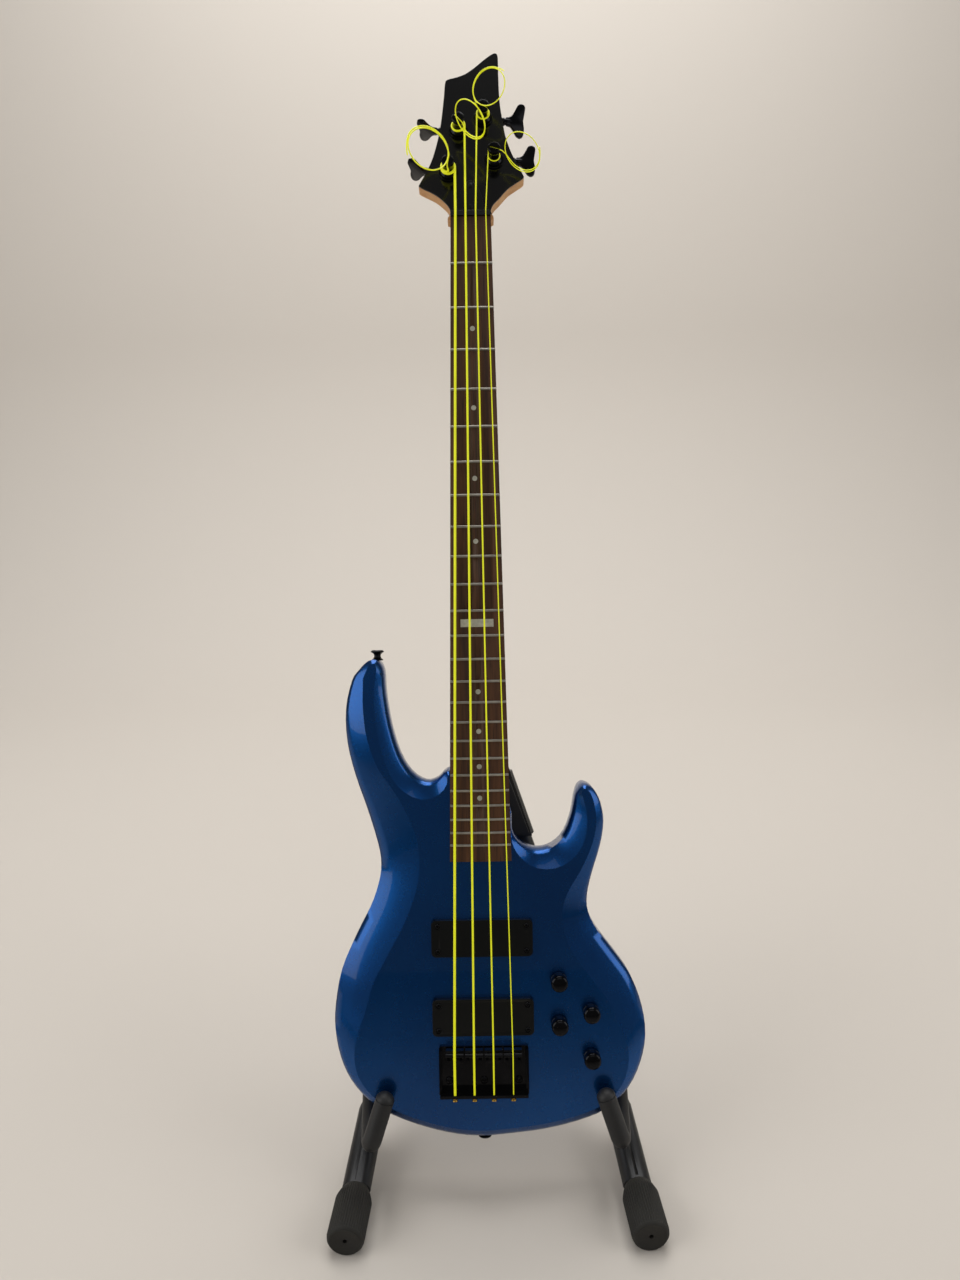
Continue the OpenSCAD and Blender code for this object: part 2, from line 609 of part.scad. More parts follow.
module bridge_screws() in_guitar() color([0.2, 0.2, 0.2]) {
    for (p = BRIDGE_SCREW_PLACES) face_axis(p.x, saddle_z + p.y, 16) {
        cylinder(h = 17 + bridge_t, r = bridge_screw_r);
        translate([0, 0, 16 + bridge_t]) cylinder(h = 1.8, r1 = 4, r2 = 3.2);
    }
}
module intonation_screws() in_guitar() color([0.2, 0.2, 0.2]) {
    for (i = STRINGS) translate([bridge_x(i), screw_line_y, saddle_z - bridge_tail]) {
        cylinder(h = bridge_tail - 4, r = intonation_r);
        translate([0, 0, -2]) cylinder(h = 2, r = 2.8);
    }
}
ridge_r = 2.6;
saddle_block_top = -12;
module saddle(i) in_guitar() color([0.12, 0.12, 0.13]) difference() {
    ridge_y = -action_rise + string_d[i] / 2 + rest_gap + ridge_r;
    union() {
        translate([bridge_x(i) - saddle_w / 2, saddle_block_top, saddle_z + saddle_front - saddle_len])
            cube([saddle_w, -saddle_block_top - bridge_t - 1.5, saddle_len]);
        translate([bridge_x(i) - saddle_w / 2, ridge_y, saddle_z]) rotate([0, 90, 0]) cylinder(h = saddle_w, r = ridge_r);
        for (s = [-1, 1]) face_axis(bridge_x(i) + s * 6.4, saddle_z - 5, -bridge_t - rest_gap)
            cylinder(h = 12, r = 1.5);
    }
    translate([bridge_x(i), screw_line_y, saddle_z - bridge_tail]) cylinder(h = 100, r = intonation_r + run_gap);
    translate([bridge_x(i), -action_rise, saddle_z - 20]) cylinder(h = 40, r = string_d[i] / 2 + rest_gap);
}
module saddle_e() saddle(0);
module saddle_a() saddle(1);
module saddle_d() saddle(2);
module saddle_g() saddle(3);

// ---------------------------------------------------------------- tuners
// Post across and up the headstock, side of its key, turn of its housing and rest angle of its key
TUNERS = [[-22.5, 47.2, -1, -10, 94], [-11.6, 96.4, -1, -7, 97], [14.4, 110.2, 1, 1, 16], [25.2, 61, 1, -1, 1]];
spool_r = 5.5;
spool_z = 6.8;
washer_t = 1.8;
post_tip_r = 6.4;
worm_r = 2.2;
worm_offset = 12;
wheel_r = worm_offset - worm_r - rest_gap;
gear_z = -head_t - 5.5;
key_shaft_r = 2;
key_reach = 38;
housing_t = 11;
housing_r = wheel_r + 3;
module at_tuner(i) {
    on_head() face_axis(TUNERS[i].x, TUNERS[i].y) children();
}
// The key's side of a tuner: x points out to the key, whichever side it is on
module at_key(i) {
    at_tuner(i) mirror([TUNERS[i].z < 0 ? 1 : 0, 0, 0]) rotate([0, 0, TUNERS[i][3] * -1]) children();
}
module key_axis(x) {
    translate([x, worm_offset, gear_z]) rotate([0, 90, 0]) children();
}
module tuner_housing(i) at_key(i) difference() {
    union() {
        translate([0, 0, -head_t - housing_t]) cylinder(h = housing_t, r = housing_r);
        translate([-7, worm_offset - 5.5, -head_t - housing_t]) cube([14, 10, housing_t]);
        key_axis(6) cylinder(h = 14, r = 4);
    }
    translate([0, 0, gear_z - 2.4]) cylinder(h = 4.8, r = wheel_r + rest_gap);
    translate([0, 0, gear_z - 2]) cylinder(h = 40, r = post_r + run_gap);
    key_axis(-5.6) cylinder(h = 11.2, r = worm_r + rest_gap);
    key_axis(-5) cylinder(h = 40, r = key_shaft_r + run_gap);
}
module tuner_housings() in_guitar() color([0.08, 0.08, 0.08]) {
    for (i = STRINGS) tuner_housing(i);
}
module tuner_bushings() in_guitar() color([0.15, 0.15, 0.15]) {
    for (i = STRINGS) at_tuner(i) difference() {
        union() {
            translate([0, 0, -head_t + 1]) cylinder(h = head_t, r = bush_r - EPS);
            cylinder(h = washer_t, r = 10);
        }
        translate([0, 0, -head_t]) cylinder(h = head_t + 4, r = post_r + run_gap);
    }
}
// Direction of each string's loose end from its post, gap to its loop, loop radius, pitch and roll
ENDS = [[135, 9.7, 22, -8, 7], [-50, 9.5, 21.5, 58, 18], [75.7, 8, 21.6, -15, 29], [-18, 12, 19, 18.5, 22]];
tail_z = post_rise - 1.6;
module tuner_post(i) in_guitar() color([0.1, 0.1, 0.1]) at_tuner(i) difference() {
    rotate_extrude() polygon([
        [0, gear_z - 2], [wheel_r, gear_z - 2], [wheel_r, gear_z + 2], [post_r, gear_z + 2], [post_r, washer_t + 0.4],
        [8, washer_t + 0.4], [8, washer_t + 1.4], [6.4, washer_t + 2.6], [spool_r, 6], [spool_r, 15],
        [post_tip_r, post_rise - 3.6], [post_tip_r, post_rise - 0.6], [post_tip_r - 0.6, post_rise], [0, post_rise]
    ]);
    rotate([0, 0, ENDS[i][0]])
        translate([-string_d[i] / 2 - 0.2 - 8, -string_d[i] / 2 - 0.2, tail_z - string_d[i] / 2 - 0.1])
            cube([22, string_d[i] + 0.4, 10]);
}
module tuner_post_e() tuner_post(0);
module tuner_post_a() tuner_post(1);
module tuner_post_d() tuner_post(2);
module tuner_post_g() tuner_post(3);
// Half outlines of an ear's two lobes: distance past the collar and share of half the span
KEY_EDGE = [
    [-13.5, -0.22], [-9, -0.32], [-5.5, -0.59], [-2.5, -0.88], [1.6, -0.99], [5.4, -0.85], [6.4, -0.44], [5.4, 0],
    [6.8, 0.44], [7.5, 0.82], [4.6, 0.99], [0, 0.95], [-3.2, 0.64], [-6.5, 0.35], [-10, 0.24], [-13.5, 0.22]
];
module key_ear() {
    translate([key_reach, 0, -key_t / 2]) linear_extrude(key_t)
        polygon(flat(smooth_loop([for (p = KEY_EDGE) [p.x * key_w / 17, p.y * key_span / 2, 0]], 2)));
}
module tuner_key(i) in_guitar() color([0.07, 0.07, 0.07]) at_key(i) {
    key_axis(-5.2) cylinder(h = 10.4, r = worm_r);
    key_axis(-5.2) cylinder(h = key_reach + 2, r = key_shaft_r);
    key_axis(20.6) cylinder(h = key_reach - 25, r1 = 3.4, r2 = 4);
    translate([0, worm_offset, gear_z]) rotate([TUNERS[i][4], 0, 0]) key_ear();
}
module tuner_key_e() tuner_key(0);
module tuner_key_a() tuner_key(1);
module tuner_key_d() tuner_key(2);
module tuner_key_g() tuner_key(3);

// ---------------------------------------------------------------- strings
// Side of its post on which a string arrives: the inner side, towards the middle
function arrive_x(i) = TUNERS[i].x - TUNERS[i].z * (spool_r + string_d[i] / 2);
function nut_point(i) = [nut_x(i), nut_string_y, nut_z + nut_len + 0.1];
function post_point(i) = head_point([arrive_x(i), -spool_z, TUNERS[i].y]);
function saddle_point(i) = [bridge_x(i), -action_rise, saddle_z];
function anchor_point(i) = [bridge_x(i), anchor_y, saddle_z - bridge_tail - ball_gap];
STRING_SIDES = 12;
ball_gap = 1.2;
module string_tube(path, r) {
    polyhedron(
        points = [for (p = path, k = [0 : STRING_SIDES - 1])
            let (a = 360 * k / STRING_SIDES)
            [p.x + r * cos(a), p.y + r * sin(a), p.z]],
        faces = loft_faces(len(path), STRING_SIDES),
        convexity = 2
    );
}
ball_len = 3;
ball_r = 2.9;
module strings() in_guitar() color("greenyellow") {
    for (i = STRINGS) {
        string_tube([anchor_point(i), saddle_point(i), nut_point(i), post_point(i)], string_d[i] / 2);
        translate(anchor_point(i) - [0, 0, ball_len - 1]) cylinder(h = ball_len, r = ball_r);
    }
}
WRAP_TURNS = 3;
wrap_gap = 0.02;
module string_wrap(i) in_guitar() color("greenyellow") at_tuner(i) {
    r = string_d[i] / 2;
    for (k = [1 : WRAP_TURNS]) translate([0, 0, spool_z + k * (2 * r + wrap_gap)])
        rotate_extrude() translate([spool_r + r + wrap_gap, 0]) circle(r, $fn = 24);
    rotate([0, 0, ENDS[i][0]]) translate([-7, 0, tail_z]) rotate([0, 90, 0])
        cylinder(h = 7 + ENDS[i][1] - r * (1 + abs(sin(ENDS[i][3]) * cos(ENDS[i][4]))) - 0.3, r = r);
}
module string_wrap_e() string_wrap(0);
module string_wrap_a() string_wrap(1);
module string_wrap_d() string_wrap(2);
module string_wrap_g() string_wrap(3);
// Loose end of a string: the outer shape of its two turns, starting beside its post
module string_end(i) in_guitar() color("greenyellow") at_tuner(i) {
    r = string_d[i] / 2;
    rotate([0, 0, ENDS[i][0]]) translate([ENDS[i][1], 0, tail_z])
        rotate([0, -ENDS[i][3], 0]) rotate([ENDS[i][4], 0, 0]) translate([ENDS[i][2], 0, 0])
            rotate_extrude() translate([ENDS[i][2], 0]) {
                translate([0, r]) circle(r, $fn = 24);
                translate([0, -r]) circle(r, $fn = 24);
                square([2 * r, 2 * r], center = true);
            }
}
module string_end_e() string_end(0);
module string_end_a() string_end(1);
module string_end_d() string_end(2);
module string_end_g() string_end(3);

// ---------------------------------------------------------------- stand
tube_r = tube_d / 2;
foam_r = foam_d / 2;
foot_r = foot_d / 2;
// Side tube's axis in the leaning frame: in the head, and at the knuckle above the floor
tube_top = [22, body_t + 24, 335];
tube_low = [138, body_t + 38, -8.4];
sleeve_r = tube_r + 4;
sleeve_low_r = tube_r + 1.5;
knuckle_r = leg_w / 2 - 0.6;
head_z0 = 304;
head_z1 = 380;
head_y0 = body_t + 7.4;
head_y1 = body_t + 35;
rear_hinge = [0, body_t + 55, 350];
rear_r = 10;
lug_t = 6;
lug_r = 13;
function leaned(p) = [
    p.x, seat_y + p.y * cos(lean) + p.z * sin(lean), seat_z - p.y * sin(lean) + p.z * cos(lean)
];
function on_tube(t) = tube_low + (tube_top - tube_low) * t;
function mirrored(p, s) = [s * p.x, p.y, p.z];
module head_shape(inset) {
    polygon([
        [-45 + inset, head_z0 + inset], [45 - inset, head_z0 + inset],
        [20 - inset, head_z1 - inset], [-20 + inset, head_z1 - inset]
    ]);
}
module stand_head() in_lean() color([0.1, 0.1, 0.1]) difference() {
    union() {
        from_face(head_y1, head_y1 - head_y0) head_shape(0);
        for (s = [-1, 1]) rod(mirrored(on_tube(0.9), s), mirrored(on_tube(1.1), s), sleeve_r);
        for (s = [-1, 1]) translate([s * (rear_r + rest_gap + lug_t / 2) - lug_t / 2, head_y1 - 2, rear_hinge.z - lug_r + 1])
            cube([lug_t, rear_hinge.y - head_y1 + 2, 2 * lug_r - 2]);
        for (s = [-1, 1]) translate([s * (rear_r + rest_gap + lug_t / 2) - lug_t / 2, rear_hinge.y, rear_hinge.z])
            rotate([0, 90, 0]) cylinder(h = lug_t, r = lug_r);
        translate([-rear_r - rest_gap - lug_t - 1.5, rear_hinge.y, rear_hinge.z]) rotate([0, 90, 0])
            cylinder(h = 2 * (rear_r + rest_gap + lug_t + 1.5), r = 4);
    }
    for (s = [-1, 1]) rod(mirrored(on_tube(0.85), s), mirrored(on_tube(1.05), s), tube_r + run_gap);
}
module head_pad() in_lean() color([0.2, 0.2, 0.2]) {
    from_face(head_y0, head_y0 - body_t - rest_gap) head_shape(3);
}
knuckle = leaned(tube_low);
foot_z = foot_r - 0.5;
foot_front = [foot_spacing / 2, -stand_depth / 2, foot_z];
foot_axis = [4, -foot_len, 0];
foot_back = foot_front - foot_axis;
spigot_r = 9;
foot_ribs = 23;
rib_depth = 0.8;
// Hook: from the side tube forwards under the guitar's edge, then up in front of it
// The guitar's edge sits on the foam: a thicker body or foam puts the hook that much lower
hook_seat = 34.25;
hook_front_gap = 4;
hook_z = hook_seat - foam_r * 1.26 - body_t / 2;
hook_root = [136, body_t + 28, hook_z + 42];
hook_bend = [129, -foam_r - hook_front_gap, hook_z];
hook_tip = hook_bend + [-15, 0, hook_rise];
core_r = 4;
bend_proud = 0.25;
module hook_core(s) {
    rod(mirrored(hook_root, s), mirrored(hook_bend, s), core_r);
    translate(mirrored(hook_bend, s)) sphere(core_r + bend_proud);
    rod(mirrored(hook_bend, s), mirrored(hook_tip, s), core_r);
}
groove_w = 3;
foot_step = 3;
module leg(s) color([0.11, 0.11, 0.11]) {
    in_lean() {
        rod(mirrored(on_tube(0), s), mirrored(on_tube(1.04), s), tube_r);
        hook_core(s);
    }
    in_lean() rod(mirrored(on_tube(0), s), mirrored(on_tube(0.2), s), sleeve_low_r);
    translate(mirrored(knuckle, s)) sphere(knuckle_r);
    difference() {
        from = mirrored(knuckle, s);
        to = mirrored(foot_back, s);
        length = norm(to - from) - foot_step;
        along(from, to) {
            translate([-leg_h / 2, -(leg_w - leg_h) / 2, 0]) cube([leg_h, leg_w - leg_h, length]);
            for (k = [-1, 1]) translate([0, k * (leg_w - leg_h) / 2, 0]) cylinder(h = length, r = leg_h / 2);
        }
        along(from, to) translate([-leg_h / 2 - 1, -groove_w / 2, 20]) cube([2, groove_w, length - 24]);
    }
    rod(mirrored(foot_back - foot_axis * 0.1, s), mirrored(foot_back + foot_axis * 0.7, s), spigot_r);
}
module leg_left() leg(-1);
module leg_right() mirror([1, 0, 0]) leg(-1);
module foot_ribs(r, length) {
    n = 2 * foot_ribs;
    linear_extrude(length)
        polygon([for (i = [0 : 2 * n - 1]) let (a = 180 * (i + 0.5) / n, q = i % 4 < 2 ? r : r - rib_depth) [q * cos(a), q * sin(a)]]);
}
module foot(s) color([0.2, 0.18, 0.16]) difference() {
    length = norm(foot_axis);
    along(mirrored(foot_back, s), mirrored(foot_front, s)) union() {
        rotate_extrude() polygon([
            [spigot_r + fit_gap, 0], [foot_r - 5, 0], [foot_r - 2.6, 5], [foot_r - rib_depth - 0.1, 11],
            [foot_r - rib_depth - 0.1, length - 6], [foot_r, length - 5.9], [foot_r, length - 4], [foot_r - 2.2, length - 0.6],
            [foot_r - 3.6, length], [2.5, length], [2.5, length - 6], [0, length - 6],
            [0, length * 0.7 + fit_gap], [spigot_r + fit_gap, length * 0.7 + fit_gap]
        ]);
        translate([0, 0, 11.5]) difference() {
            foot_ribs(foot_r, length - 17.45);
            translate([0, 0, -1]) cylinder(h = length, r = foot_r - rib_depth - 1);
        }
    }
    translate([-300, -300, -20]) cube([600, 600, 20]);
}
module foot_left() foot(-1);
module foot_right() mirror([1, 0, 0]) foot(-1);
module hook_foam(s) in_lean() color([0.15, 0.15, 0.15]) difference() {
    start = hook_root + (hook_bend - hook_root) * 0.24;
    rise = norm(hook_tip - hook_bend);
    union() {
        rod(mirrored(start, s), mirrored(hook_bend, s), foam_r);
        translate(mirrored(hook_bend, s)) sphere(foam_r + bend_proud);
        along(mirrored(hook_bend, s), mirrored(hook_tip, s)) rotate_extrude() polygon([
            [0, 0], [foam_r, 0], [foam_r, rise], [foam_r - 0.5, rise + 3], [foam_r - 2.5, rise + 6.5],
            [foam_r - 6, rise + 9], [0, rise + 10]
        ]);
    }
    rod(mirrored(hook_root, s), mirrored(hook_bend, s), core_r + EPS);
    translate(mirrored(hook_bend, s)) sphere(core_r + bend_proud + EPS);
    rod(mirrored(hook_bend, s), mirrored(hook_tip, s), core_r + EPS);
}
module hook_foam_left() hook_foam(-1);
module hook_foam_right() mirror([1, 0, 0]) hook_foam(-1);
rear_foot_r = 15;
rear_foot_len = 42;
rear_top = leaned(rear_hinge);
rear_reach = 16.6;
rear_low = [0, stand_depth / 2 - rear_reach, 4];
function on_rear(d) = rear_low + (rear_top - rear_low) * d / norm(rear_top - rear_low);
module rear_leg() color([0.11, 0.11, 0.11]) difference() {
    union() {
        rod(on_rear(12), rear_top, rear_r);
        translate(rear_top - [rear_r, 0, 0]) rotate([0, 90, 0]) cylinder(h = 2 * rear_r, r = 12);
    }
    translate(rear_top - [rear_r + 1, 0, 0]) rotate([0, 90, 0]) cylinder(h = 2 * rear_r + 2, r = 4 + run_gap);
}
module rear_foot() color([0.2, 0.18, 0.16]) difference() {
    rod(on_rear(-12), on_rear(rear_foot_len), rear_foot_r);
    rod(on_rear(12 - EPS), on_rear(rear_foot_len + 5), rear_r + EPS);
    translate([-50, 0, -50]) cube([100, 600, 50]);
}

body();
neck();
headstock_veneer();
fretboard();
frets();
nut();
fret_markers();
truss_rod();
truss_rod_cover();
neck_ferrules();
neck_screws();
pickup_neck();
pickup_bridge();
pickup_screws();
bridge_plate();
bridge_screws();
intonation_screws();
saddle_e();
saddle_a();
saddle_d();
saddle_g();
tuner_housings();
tuner_bushings();
tuner_post_e();
tuner_post_a();
tuner_post_d();
tuner_post_g();
tuner_key_e();
tuner_key_a();
tuner_key_d();
tuner_key_g();
strings();
string_wrap_e();
string_wrap_a();
string_wrap_d();
string_wrap_g();
string_end_e();
string_end_a();
string_end_d();
string_end_g();
potentiometers();
knob_1();
knob_2();
knob_3();
knob_4();
control_cover();
cover_screws();
strap_buttons();
output_jack();
stand_head();
head_pad();
leg_left();
leg_right();
foot_left();
foot_right();
hook_foam_left();
hook_foam_right();
rear_leg();
rear_foot();
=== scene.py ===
"""Looks of a four-string bass guitar resting on a folding A-frame stand, built round its CAD frame."""

import json
import logging
import math
from dataclasses import dataclass
from enum import Enum
from typing import Any, Iterable, Optional, Sequence

import bmesh
import bpy
from mathutils import Matrix, Vector

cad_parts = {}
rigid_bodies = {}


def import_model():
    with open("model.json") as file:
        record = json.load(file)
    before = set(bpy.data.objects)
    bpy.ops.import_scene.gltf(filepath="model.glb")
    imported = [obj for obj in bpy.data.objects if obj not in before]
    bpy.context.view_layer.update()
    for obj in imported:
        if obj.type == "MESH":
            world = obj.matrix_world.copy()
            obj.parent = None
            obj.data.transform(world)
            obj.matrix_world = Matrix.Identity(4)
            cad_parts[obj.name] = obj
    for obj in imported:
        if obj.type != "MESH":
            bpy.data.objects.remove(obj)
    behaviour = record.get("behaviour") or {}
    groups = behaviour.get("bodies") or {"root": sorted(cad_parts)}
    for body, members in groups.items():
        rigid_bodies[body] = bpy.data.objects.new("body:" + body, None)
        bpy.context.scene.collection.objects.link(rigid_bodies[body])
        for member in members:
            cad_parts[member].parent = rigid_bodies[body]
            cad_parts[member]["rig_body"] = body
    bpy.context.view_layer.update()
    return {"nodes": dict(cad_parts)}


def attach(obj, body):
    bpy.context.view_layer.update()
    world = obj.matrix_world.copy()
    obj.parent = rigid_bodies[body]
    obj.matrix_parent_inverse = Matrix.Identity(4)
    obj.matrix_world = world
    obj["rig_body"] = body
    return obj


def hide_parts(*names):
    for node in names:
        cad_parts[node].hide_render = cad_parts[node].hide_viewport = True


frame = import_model()

log = logging.getLogger("bass")
MM = 0.001
Point = tuple[float, float, float]

# Where the guitar stands and how far it leans back, in millimetres and degrees, as in the part's source
LEAN = 16.7
GUITAR_X = -11.4
SEAT_Y = -144.7
SEAT_Z = 71.0
HEAD_TILT = 10.0
SADDLE_Z = 91.4
SCALE_LENGTH = 863.6
NUT_Z = SADDLE_Z + SCALE_LENGTH
NUT_LENGTH = 5.0
HEAD_FACE_Y = -4.5
NUT_SPACING = 10.4
BRIDGE_SPACING = 20.0
MIDDLE_COURSE = 1.5


def turned(degrees: float, axis: str) -> Matrix:
    """Returns a turn about one axis, in degrees."""
    return Matrix.Rotation(math.radians(degrees), 4, axis)


def moved(x: float, y: float, z: float) -> Matrix:
    """Returns a shift in millimetres."""
    return Matrix.Translation((x, y, z))


TO_METRES = Matrix.Scale(MM, 4)
IN_STAND = TO_METRES @ moved(0, SEAT_Y, SEAT_Z) @ turned(-LEAN, "X")
IN_GUITAR = TO_METRES @ moved(GUITAR_X, SEAT_Y, SEAT_Z) @ turned(-LEAN, "X")
ON_HEAD = IN_GUITAR @ moved(0, HEAD_FACE_Y, NUT_Z + NUT_LENGTH) @ turned(-HEAD_TILT, "X")


def out_of_face(base: Matrix, x: float, z: float) -> Matrix:
    """Gives the frame whose z axis points out of the guitar's face at one place.

    Args:
        base: Frame that the place is given in.
        x: Place across, in millimetres.
        z: Place along the neck, in millimetres.

    Returns:
        The matrix from that local frame, in millimetres, to the part's frame.
    """
    return base @ moved(x, 0, z) @ turned(90, "X")


# ------------------------------------------------------------------ materials


def linear(colour: str) -> tuple[float, float, float, float]:
    """Turns an sRGB hex colour into linear light.

    Args:
        colour: Six hex digits after a hash sign.

    Returns:
        Linear red, green, blue and an alpha of one.
    """
    parts = [int(colour[i:i + 2], 16) / 255 for i in (1, 3, 5)]
    light = [c / 12.92 if c <= 0.04045 else ((c + 0.055) / 1.055) ** 2.4 for c in parts]
    return light[0], light[1], light[2], 1.0


def add_node(tree: bpy.types.NodeTree, kind: str, inputs: Optional[dict[Any, Any]] = None,
             **settings: Any) -> bpy.types.Node:
    """Adds a shader node with its settings and links.

    Args:
        tree: Node tree of a material or world.
        kind: Node type without its ShaderNode prefix.
        inputs: Value or output socket for each input, by name or index.
        **settings: Properties of the node itself.

    Returns:
        The new node.
    """
    node = tree.nodes.new("ShaderNode" + kind)
    for name, value in settings.items():
        setattr(node, name, value)
    for key, value in (inputs or {}).items():
        if isinstance(value, bpy.types.NodeSocket):
            tree.links.new(value, node.inputs[key])
        else:
            node.inputs[key].default_value = value
    return node


def per_metre(size_mm: float) -> float:
    """Returns the scale at which a texture's grains are about one real size in millimetres."""
    return 1 / (size_mm * MM)


@dataclass(frozen=True)
class Finish:
    """A surface of one colour with fine variation in colour, gloss and relief.

    The speckle is a fine noise of a real size in millimetres, the cloud a broad one.
    """

    name: str
    colour: str
    shade: str
    roughness: float = 0.4
    spread: float = 0.06
    metallic: float = 0.0
    ior: float = 1.5
    coat: float = 0.0
    coat_roughness: float = 0.03
    speckle_mm: float = 0.6
    relief_mm: float = 0.02
    speckle_layers: float = 2.0
    cloud_mm: float = 40.0
    cloud_layers: float = 3.0
    tones: tuple[float, float] = (0.3, 0.7)

    def coordinates(self, tree: bpy.types.NodeTree) -> bpy.types.NodeSocket:
        """Returns object coordinates turned to run along the leaning guitar."""
        spot = add_node(tree, "TexCoord").outputs["Object"]
        level = add_node(tree, "Mapping", {"Vector": spot, "Rotation": (math.radians(LEAN), 0, 0)})
        return level.outputs["Vector"]

    def colour_field(self, tree: bpy.types.NodeTree, where: bpy.types.NodeSocket) -> bpy.types.NodeSocket:
        """Returns the base colour, drifting between the finish's two colours."""
        cloud = add_node(tree, "TexNoise", {
            "Vector": where, "Scale": per_metre(self.cloud_mm), "Detail": self.cloud_layers})
        ramp = add_node(tree, "ValToRGB", {"Fac": cloud.outputs[0]})
        for element, position, colour in zip(ramp.color_ramp.elements, self.tones, (self.shade, self.colour)):
            element.position = position
            element.color = linear(colour)
        return ramp.outputs["Color"]

    def height_field(self, tree: bpy.types.NodeTree, where: bpy.types.NodeSocket) -> bpy.types.NodeSocket:
        """Returns the height that the relief is made from, 0 to 1."""
        return add_node(tree, "TexNoise", {
            "Vector": where, "Scale": per_metre(self.speckle_mm), "Detail": self.speckle_layers}).outputs[0]

    def build(self) -> bpy.types.Material:
        """Builds the material's nodes.

        Returns:
            The finished material.
        """
        material = bpy.data.materials.new(self.name)
        material.use_nodes = True
        tree = material.node_tree
        shader = tree.nodes["Principled BSDF"]
        where = self.coordinates(tree)
        tree.links.new(self.colour_field(tree, where), shader.inputs["Base Color"])
        height = self.height_field(tree, where)
        gloss = add_node(tree, "MapRange", {
            "Value": height, "To Min": self.roughness - self.spread, "To Max": self.roughness + self.spread})
        tree.links.new(gloss.outputs["Result"], shader.inputs["Roughness"])
        bump = add_node(tree, "Bump", {"Height": height, "Distance": self.relief_mm * MM, "Strength": 1.0})
        tree.links.new(bump.outputs["Normal"], shader.inputs["Normal"])
        shader.inputs["Metallic"].default_value = self.metallic
        if self.metallic < 1:
            shader.inputs["IOR"].default_value = self.ior
        if self.coat:
            shader.inputs["Coat Weight"].default_value = self.coat
            shader.inputs["Coat Roughness"].default_value = self.coat_roughness
        self.finish_shader(shader)
        return material

    def finish_shader(self, shader: bpy.types.Node) -> None:
        """Sets what only some finishes have; the plain finish adds nothing."""


@dataclass(frozen=True)
class MetallicLacquer(Finish):
    """Blue basecoat with aluminium flake under clear gloss lacquer, which is faintly wavy and mirrors."""

    flake_mm: float = 0.35
    flake_colour: str = "#1f78a8"
    flake_from: float = 0.72
    flake_full: float = 0.95
    flake_share: float = 0.3
    speckle_mm: float = 9.0

    def colour_field(self, tree: bpy.types.NodeTree, where: bpy.types.NodeSocket) -> bpy.types.NodeSocket:
        """Returns the basecoat with flakes a little lighter than it, coarser than real so as to show."""
        base = Finish.colour_field(self, tree, where)
        flakes = add_node(tree, "TexVoronoi", {"Vector": where, "Scale": per_metre(self.flake_mm)})
        share = add_node(tree, "MapRange", {
            "Value": flakes.outputs["Color"], "From Min": self.flake_from, "From Max": self.flake_full,
            "To Max": self.flake_share})
        mixed = add_node(tree, "Mix", {
            "Factor": share.outputs["Result"], 6: base, 7: linear(self.flake_colour)}, data_type="RGBA")
        return mixed.outputs[2]


@dataclass(frozen=True)
class Wood(Finish):
    """Wood whose pores and bands run along the neck, stretched many times longer than they are wide."""

    speckle_mm: float = 1.1
    cloud_mm: float = 5.5
    cloud_layers: float = 4.0
    stretch: float = 28.0
    pore: str = "#1c0f0a"
    pore_from: float = 0.56
    pore_full: float = 0.72
    pore_share: float = 0.8
    tones: tuple[float, float] = (0.32, 0.66)

    def coordinates(self, tree: bpy.types.NodeTree) -> bpy.types.NodeSocket:
        """Returns coordinates pressed together along the neck, so that noise becomes long grain."""
        level = Finish.coordinates(self, tree)
        pressed = add_node(tree, "Mapping", {"Vector": level, "Scale": (1, 1, 1 / self.stretch)})
        return pressed.outputs["Vector"]

    def colour_field(self, tree: bpy.types.NodeTree, where: bpy.types.NodeSocket) -> bpy.types.NodeSocket:
        """Returns bands of early and late wood with dark pores in them."""
        base = Finish.colour_field(self, tree, where)
        share = add_node(tree, "MapRange", {
            "Value": self.height_field(tree, where), "From Min": self.pore_from, "From Max": self.pore_full,
            "To Max": self.pore_share})
        mixed = add_node(tree, "Mix", {
            "Factor": share.outputs["Result"], 6: base, 7: linear(self.pore)}, data_type="RGBA")
        return mixed.outputs[2]


@dataclass(frozen=True)
class Winding(Finish):
    """Coated wire wound round a core: fine ridges across the string, drawn wider than real so as to show."""

    pitch_mm: float = 0.7
    # Strength of the painted glow that the coat gives off, though it is no lamp
    glow: float = 0.2

    def height_field(self, tree: bpy.types.NodeTree, where: bpy.types.NodeSocket) -> bpy.types.NodeSocket:
        """Returns ridges that repeat along the neck; the wave node repeats every tenth of pi at scale one."""
        wave = add_node(tree, "TexWave", {"Vector": where, "Scale": 2 * math.pi / (20 * self.pitch_mm * MM)},
                        bands_direction="Z")
        return wave.outputs["Color"]

    def finish_shader(self, shader: bpy.types.Node) -> None:
        """Gives the neon pigment a painted glow of its own, a little light that stands in for the brightness
        of a daylight-fluorescent coat.
        """
        shader.inputs["Emission Color"].default_value = linear(self.colour)
        shader.inputs["Emission Strength"].default_value = self.glow


@dataclass(frozen=True)
class FoamSkin(Finish):
    """Closed-cell foam: small round cells under a dull skin."""

    cell_mm: float = 0.9

    def height_field(self, tree: bpy.types.NodeTree, where: bpy.types.NodeSocket) -> bpy.types.NodeSocket:
        """Returns the cells' domes."""
        cells = add_node(tree, "TexVoronoi", {"Vector": where, "Scale": per_metre(self.cell_mm)})
        return cells.outputs["Distance"]


